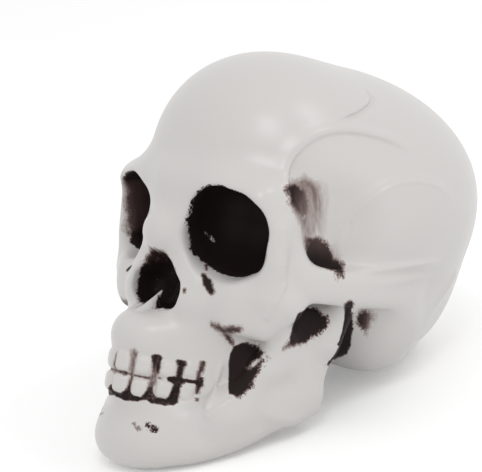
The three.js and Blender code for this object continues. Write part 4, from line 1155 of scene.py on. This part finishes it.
def paint_cover(tree, place):
    """From 0 on bare plastic to 1 under full paint."""
    edge, fray, wash = (
        node(tree, "ShaderNodeAttribute", attribute_name=name).outputs["Fac"]
        for name in ("paint_edge", "paint_fray", "paint_wash")
    )
    streaks = grain(tree, place, **STREAKS)
    distance = torn_edge(tree, edge, fray, wash, streaks, place)
    softness = math_node(tree, "MULTIPLY_ADD", wash, WASH_SOFTNESS, EDGE_SOFTNESS)
    cover = math_node(tree, "SUBTRACT", 0.5, math_node(tree, "DIVIDE", distance, softness), clamp=True)
    thinness = math_node(tree, "MULTIPLY_ADD", wash, 1 / (1 - THIN_FROM), -THIN_FROM / (1 - THIN_FROM))
    thinness = math_node(tree, "MAXIMUM", thinness, 0.0)
    bare = math_node(tree, "MULTIPLY_ADD", streaks, -BARE_STREAKS, BARE_SHARE, clamp=True)
    kept = math_node(tree, "SUBTRACT", 1.0, math_node(tree, "MULTIPLY", thinness, bare), clamp=True)
    return math_node(tree, "MULTIPLY", cover, kept)


def paint_colour(tree, cover):
    tones = node(tree, "ShaderNodeValToRGB", {"Fac": cover})
    elements = tones.color_ramp.elements
    for _ in PAINT_TONES[2:]:
        elements.new(0.5)
    for element, (position, colour) in zip(elements, PAINT_TONES):
        element.position = position
        element.color = (*colour, 1)
    return tones.outputs["Color"]


def new_material(name):
    material = bpy.data.materials.new(name)
    material.use_nodes = True
    return material, material.node_tree, material.node_tree.nodes["Principled BSDF"].inputs


def bone_plastic():
    material, tree, shader = new_material("bone_plastic")
    cover = paint_cover(tree, node(tree, "ShaderNodeTexCoord").outputs["Object"])
    roughness = math_node(tree, "MULTIPLY_ADD", cover, PAINT_ROUGHER, PLASTIC_ROUGHNESS)
    shine = math_node(tree, "MULTIPLY_ADD", cover, -PAINT_DULLER, PLASTIC_SHINE)
    tree.links.new(paint_colour(tree, cover), shader["Base Color"])
    tree.links.new(roughness, shader["Roughness"])
    tree.links.new(shine, shader["Specular IOR Level"])
    return material


# Floor, backdrop and light, in metres and watts. What is seen directly of the floor and the
# backdrop is white, and they light the skull less than that.

WHITE = (1, 1, 1, 1)
FLOOR_COLOUR = (0.9, 0.9, 0.9, 1)
FLOOR_ROUGHNESS = 0.9
FLOOR_LIFT = 0.23
FLOOR_HALF = 6
WORLD_LIGHT = 0.8
LAMP_TARGET = Vector((0, 0, 0.075))
LAMP_DISTANCE = 1.6
# Lamps: the direction that each shines from, the length of its sides, and its power
LAMPS = {
    "key": ((0.5, -0.3, 0.8), 0.45, 3),
    "rear_key": ((0.54, 0.38, 0.76), 0.45, 2),
    "fill": ((1.0, 0.6, -0.02), 1.4, 1.5),
}


def seen_directly(tree):
    """1 for the rays that show a surface itself, and 0 for those that carry its light."""
    path = node(tree, "ShaderNodeLightPath").outputs
    seen = math_node(tree, "ADD", path["Is Camera Ray"], path["Is Glossy Ray"], clamp=True)
    return math_node(tree, "ADD", seen, path["Is Transmission Ray"], clamp=True)


def floor_white():
    material, tree, shader = new_material("floor_white")
    shader["Base Color"].default_value = FLOOR_COLOUR
    shader["Roughness"].default_value = FLOOR_ROUGHNESS
    shader["Specular IOR Level"].default_value = 0.0
    shader["Emission Color"].default_value = WHITE
    tree.links.new(math_node(tree, "MULTIPLY", seen_directly(tree), FLOOR_LIFT), shader["Emission Strength"])
    return material


def make_floor():
    corners = [(x * FLOOR_HALF, y * FLOOR_HALF, 0) for x, y in ((-1, -1), (1, -1), (1, 1), (-1, 1))]
    mesh = bpy.data.meshes.new("floor")
    mesh.from_pydata(corners, [], [(0, 1, 2, 3)])
    mesh.materials.append(floor_white())
    floor = bpy.data.objects.new("floor", mesh)
    bpy.context.scene.collection.objects.link(floor)


def studio_world():
    world = bpy.data.worlds.new("studio")
    world.use_nodes = True
    tree = world.node_tree
    background = tree.nodes["Background"]
    background.inputs["Color"].default_value = WHITE
    strength = math_node(tree, "MULTIPLY_ADD", seen_directly(tree), 1 - WORLD_LIGHT, WORLD_LIGHT)
    tree.links.new(strength, background.inputs["Strength"])
    bpy.context.scene.world = world


def make_lamp(name, direction, side, power):
    data = bpy.data.lights.new(name, "AREA")
    data.shape = "RECTANGLE"
    data.size = side
    data.size_y = side
    data.energy = power
    lamp = bpy.data.objects.new(name, data)
    bpy.context.scene.collection.objects.link(lamp)
    direction = Vector(direction)
    lamp.location = LAMP_TARGET + direction.normalized() * LAMP_DISTANCE
    lamp.rotation_euler = direction.to_track_quat("Z", "Y").to_euler()


# Camera

def view_axes():
    """Right, up and back of the photograph's view, in the skull's upright frame."""
    a, e = CAMERA_AZIMUTH, CAMERA_ELEVATION
    right = Vector((math.cos(a), math.sin(a), 0))
    back = Vector((math.sin(a) * math.cos(e), -math.cos(a) * math.cos(e), math.sin(e)))
    spin = Quaternion(back, -CAMERA_ROLL)
    return spin @ right, spin @ back.cross(right), back


def make_camera():
    right, up, back = view_axes()
    focal = PIXELS_PER_MM * CAMERA_DISTANCE
    across = PHOTO_SIZE[0] / 2 - SKULL_PIXEL[0]
    above = SKULL_PIXEL[1] - PHOTO_SIZE[1] / 2
    aim = (back * focal - right * across - up * above).normalized()
    side = (right - aim * right.dot(aim)).normalized()
    turn = Matrix((side, aim.cross(side), aim)).transposed().to_4x4()
    data = bpy.data.cameras.new("camera")
    data.sensor_width = SENSOR_WIDTH
    data.lens = SENSOR_WIDTH * focal / PHOTO_SIZE[0]
    data.clip_end = CAMERA_SIGHT_METRES
    camera = bpy.data.objects.new("camera", data)
    bpy.context.scene.collection.objects.link(camera)
    placed = TO_REST @ Matrix.Translation(back * CAMERA_DISTANCE) @ turn
    camera.matrix_world = Matrix.LocRotScale(placed.translation, placed.to_quaternion(), None)
    bpy.context.scene.camera = camera


bone = bone_plastic()
shell = half_shell()
make_half("left_half", shell, 1, bone)
make_half("right_half", shell, -1, bone)
make_floor()
make_camera()
for name, (direction, side, power) in LAMPS.items():
    make_lamp(name, direction, side, power)
studio_world()
bpy.context.scene.view_settings.view_transform = "Standard"
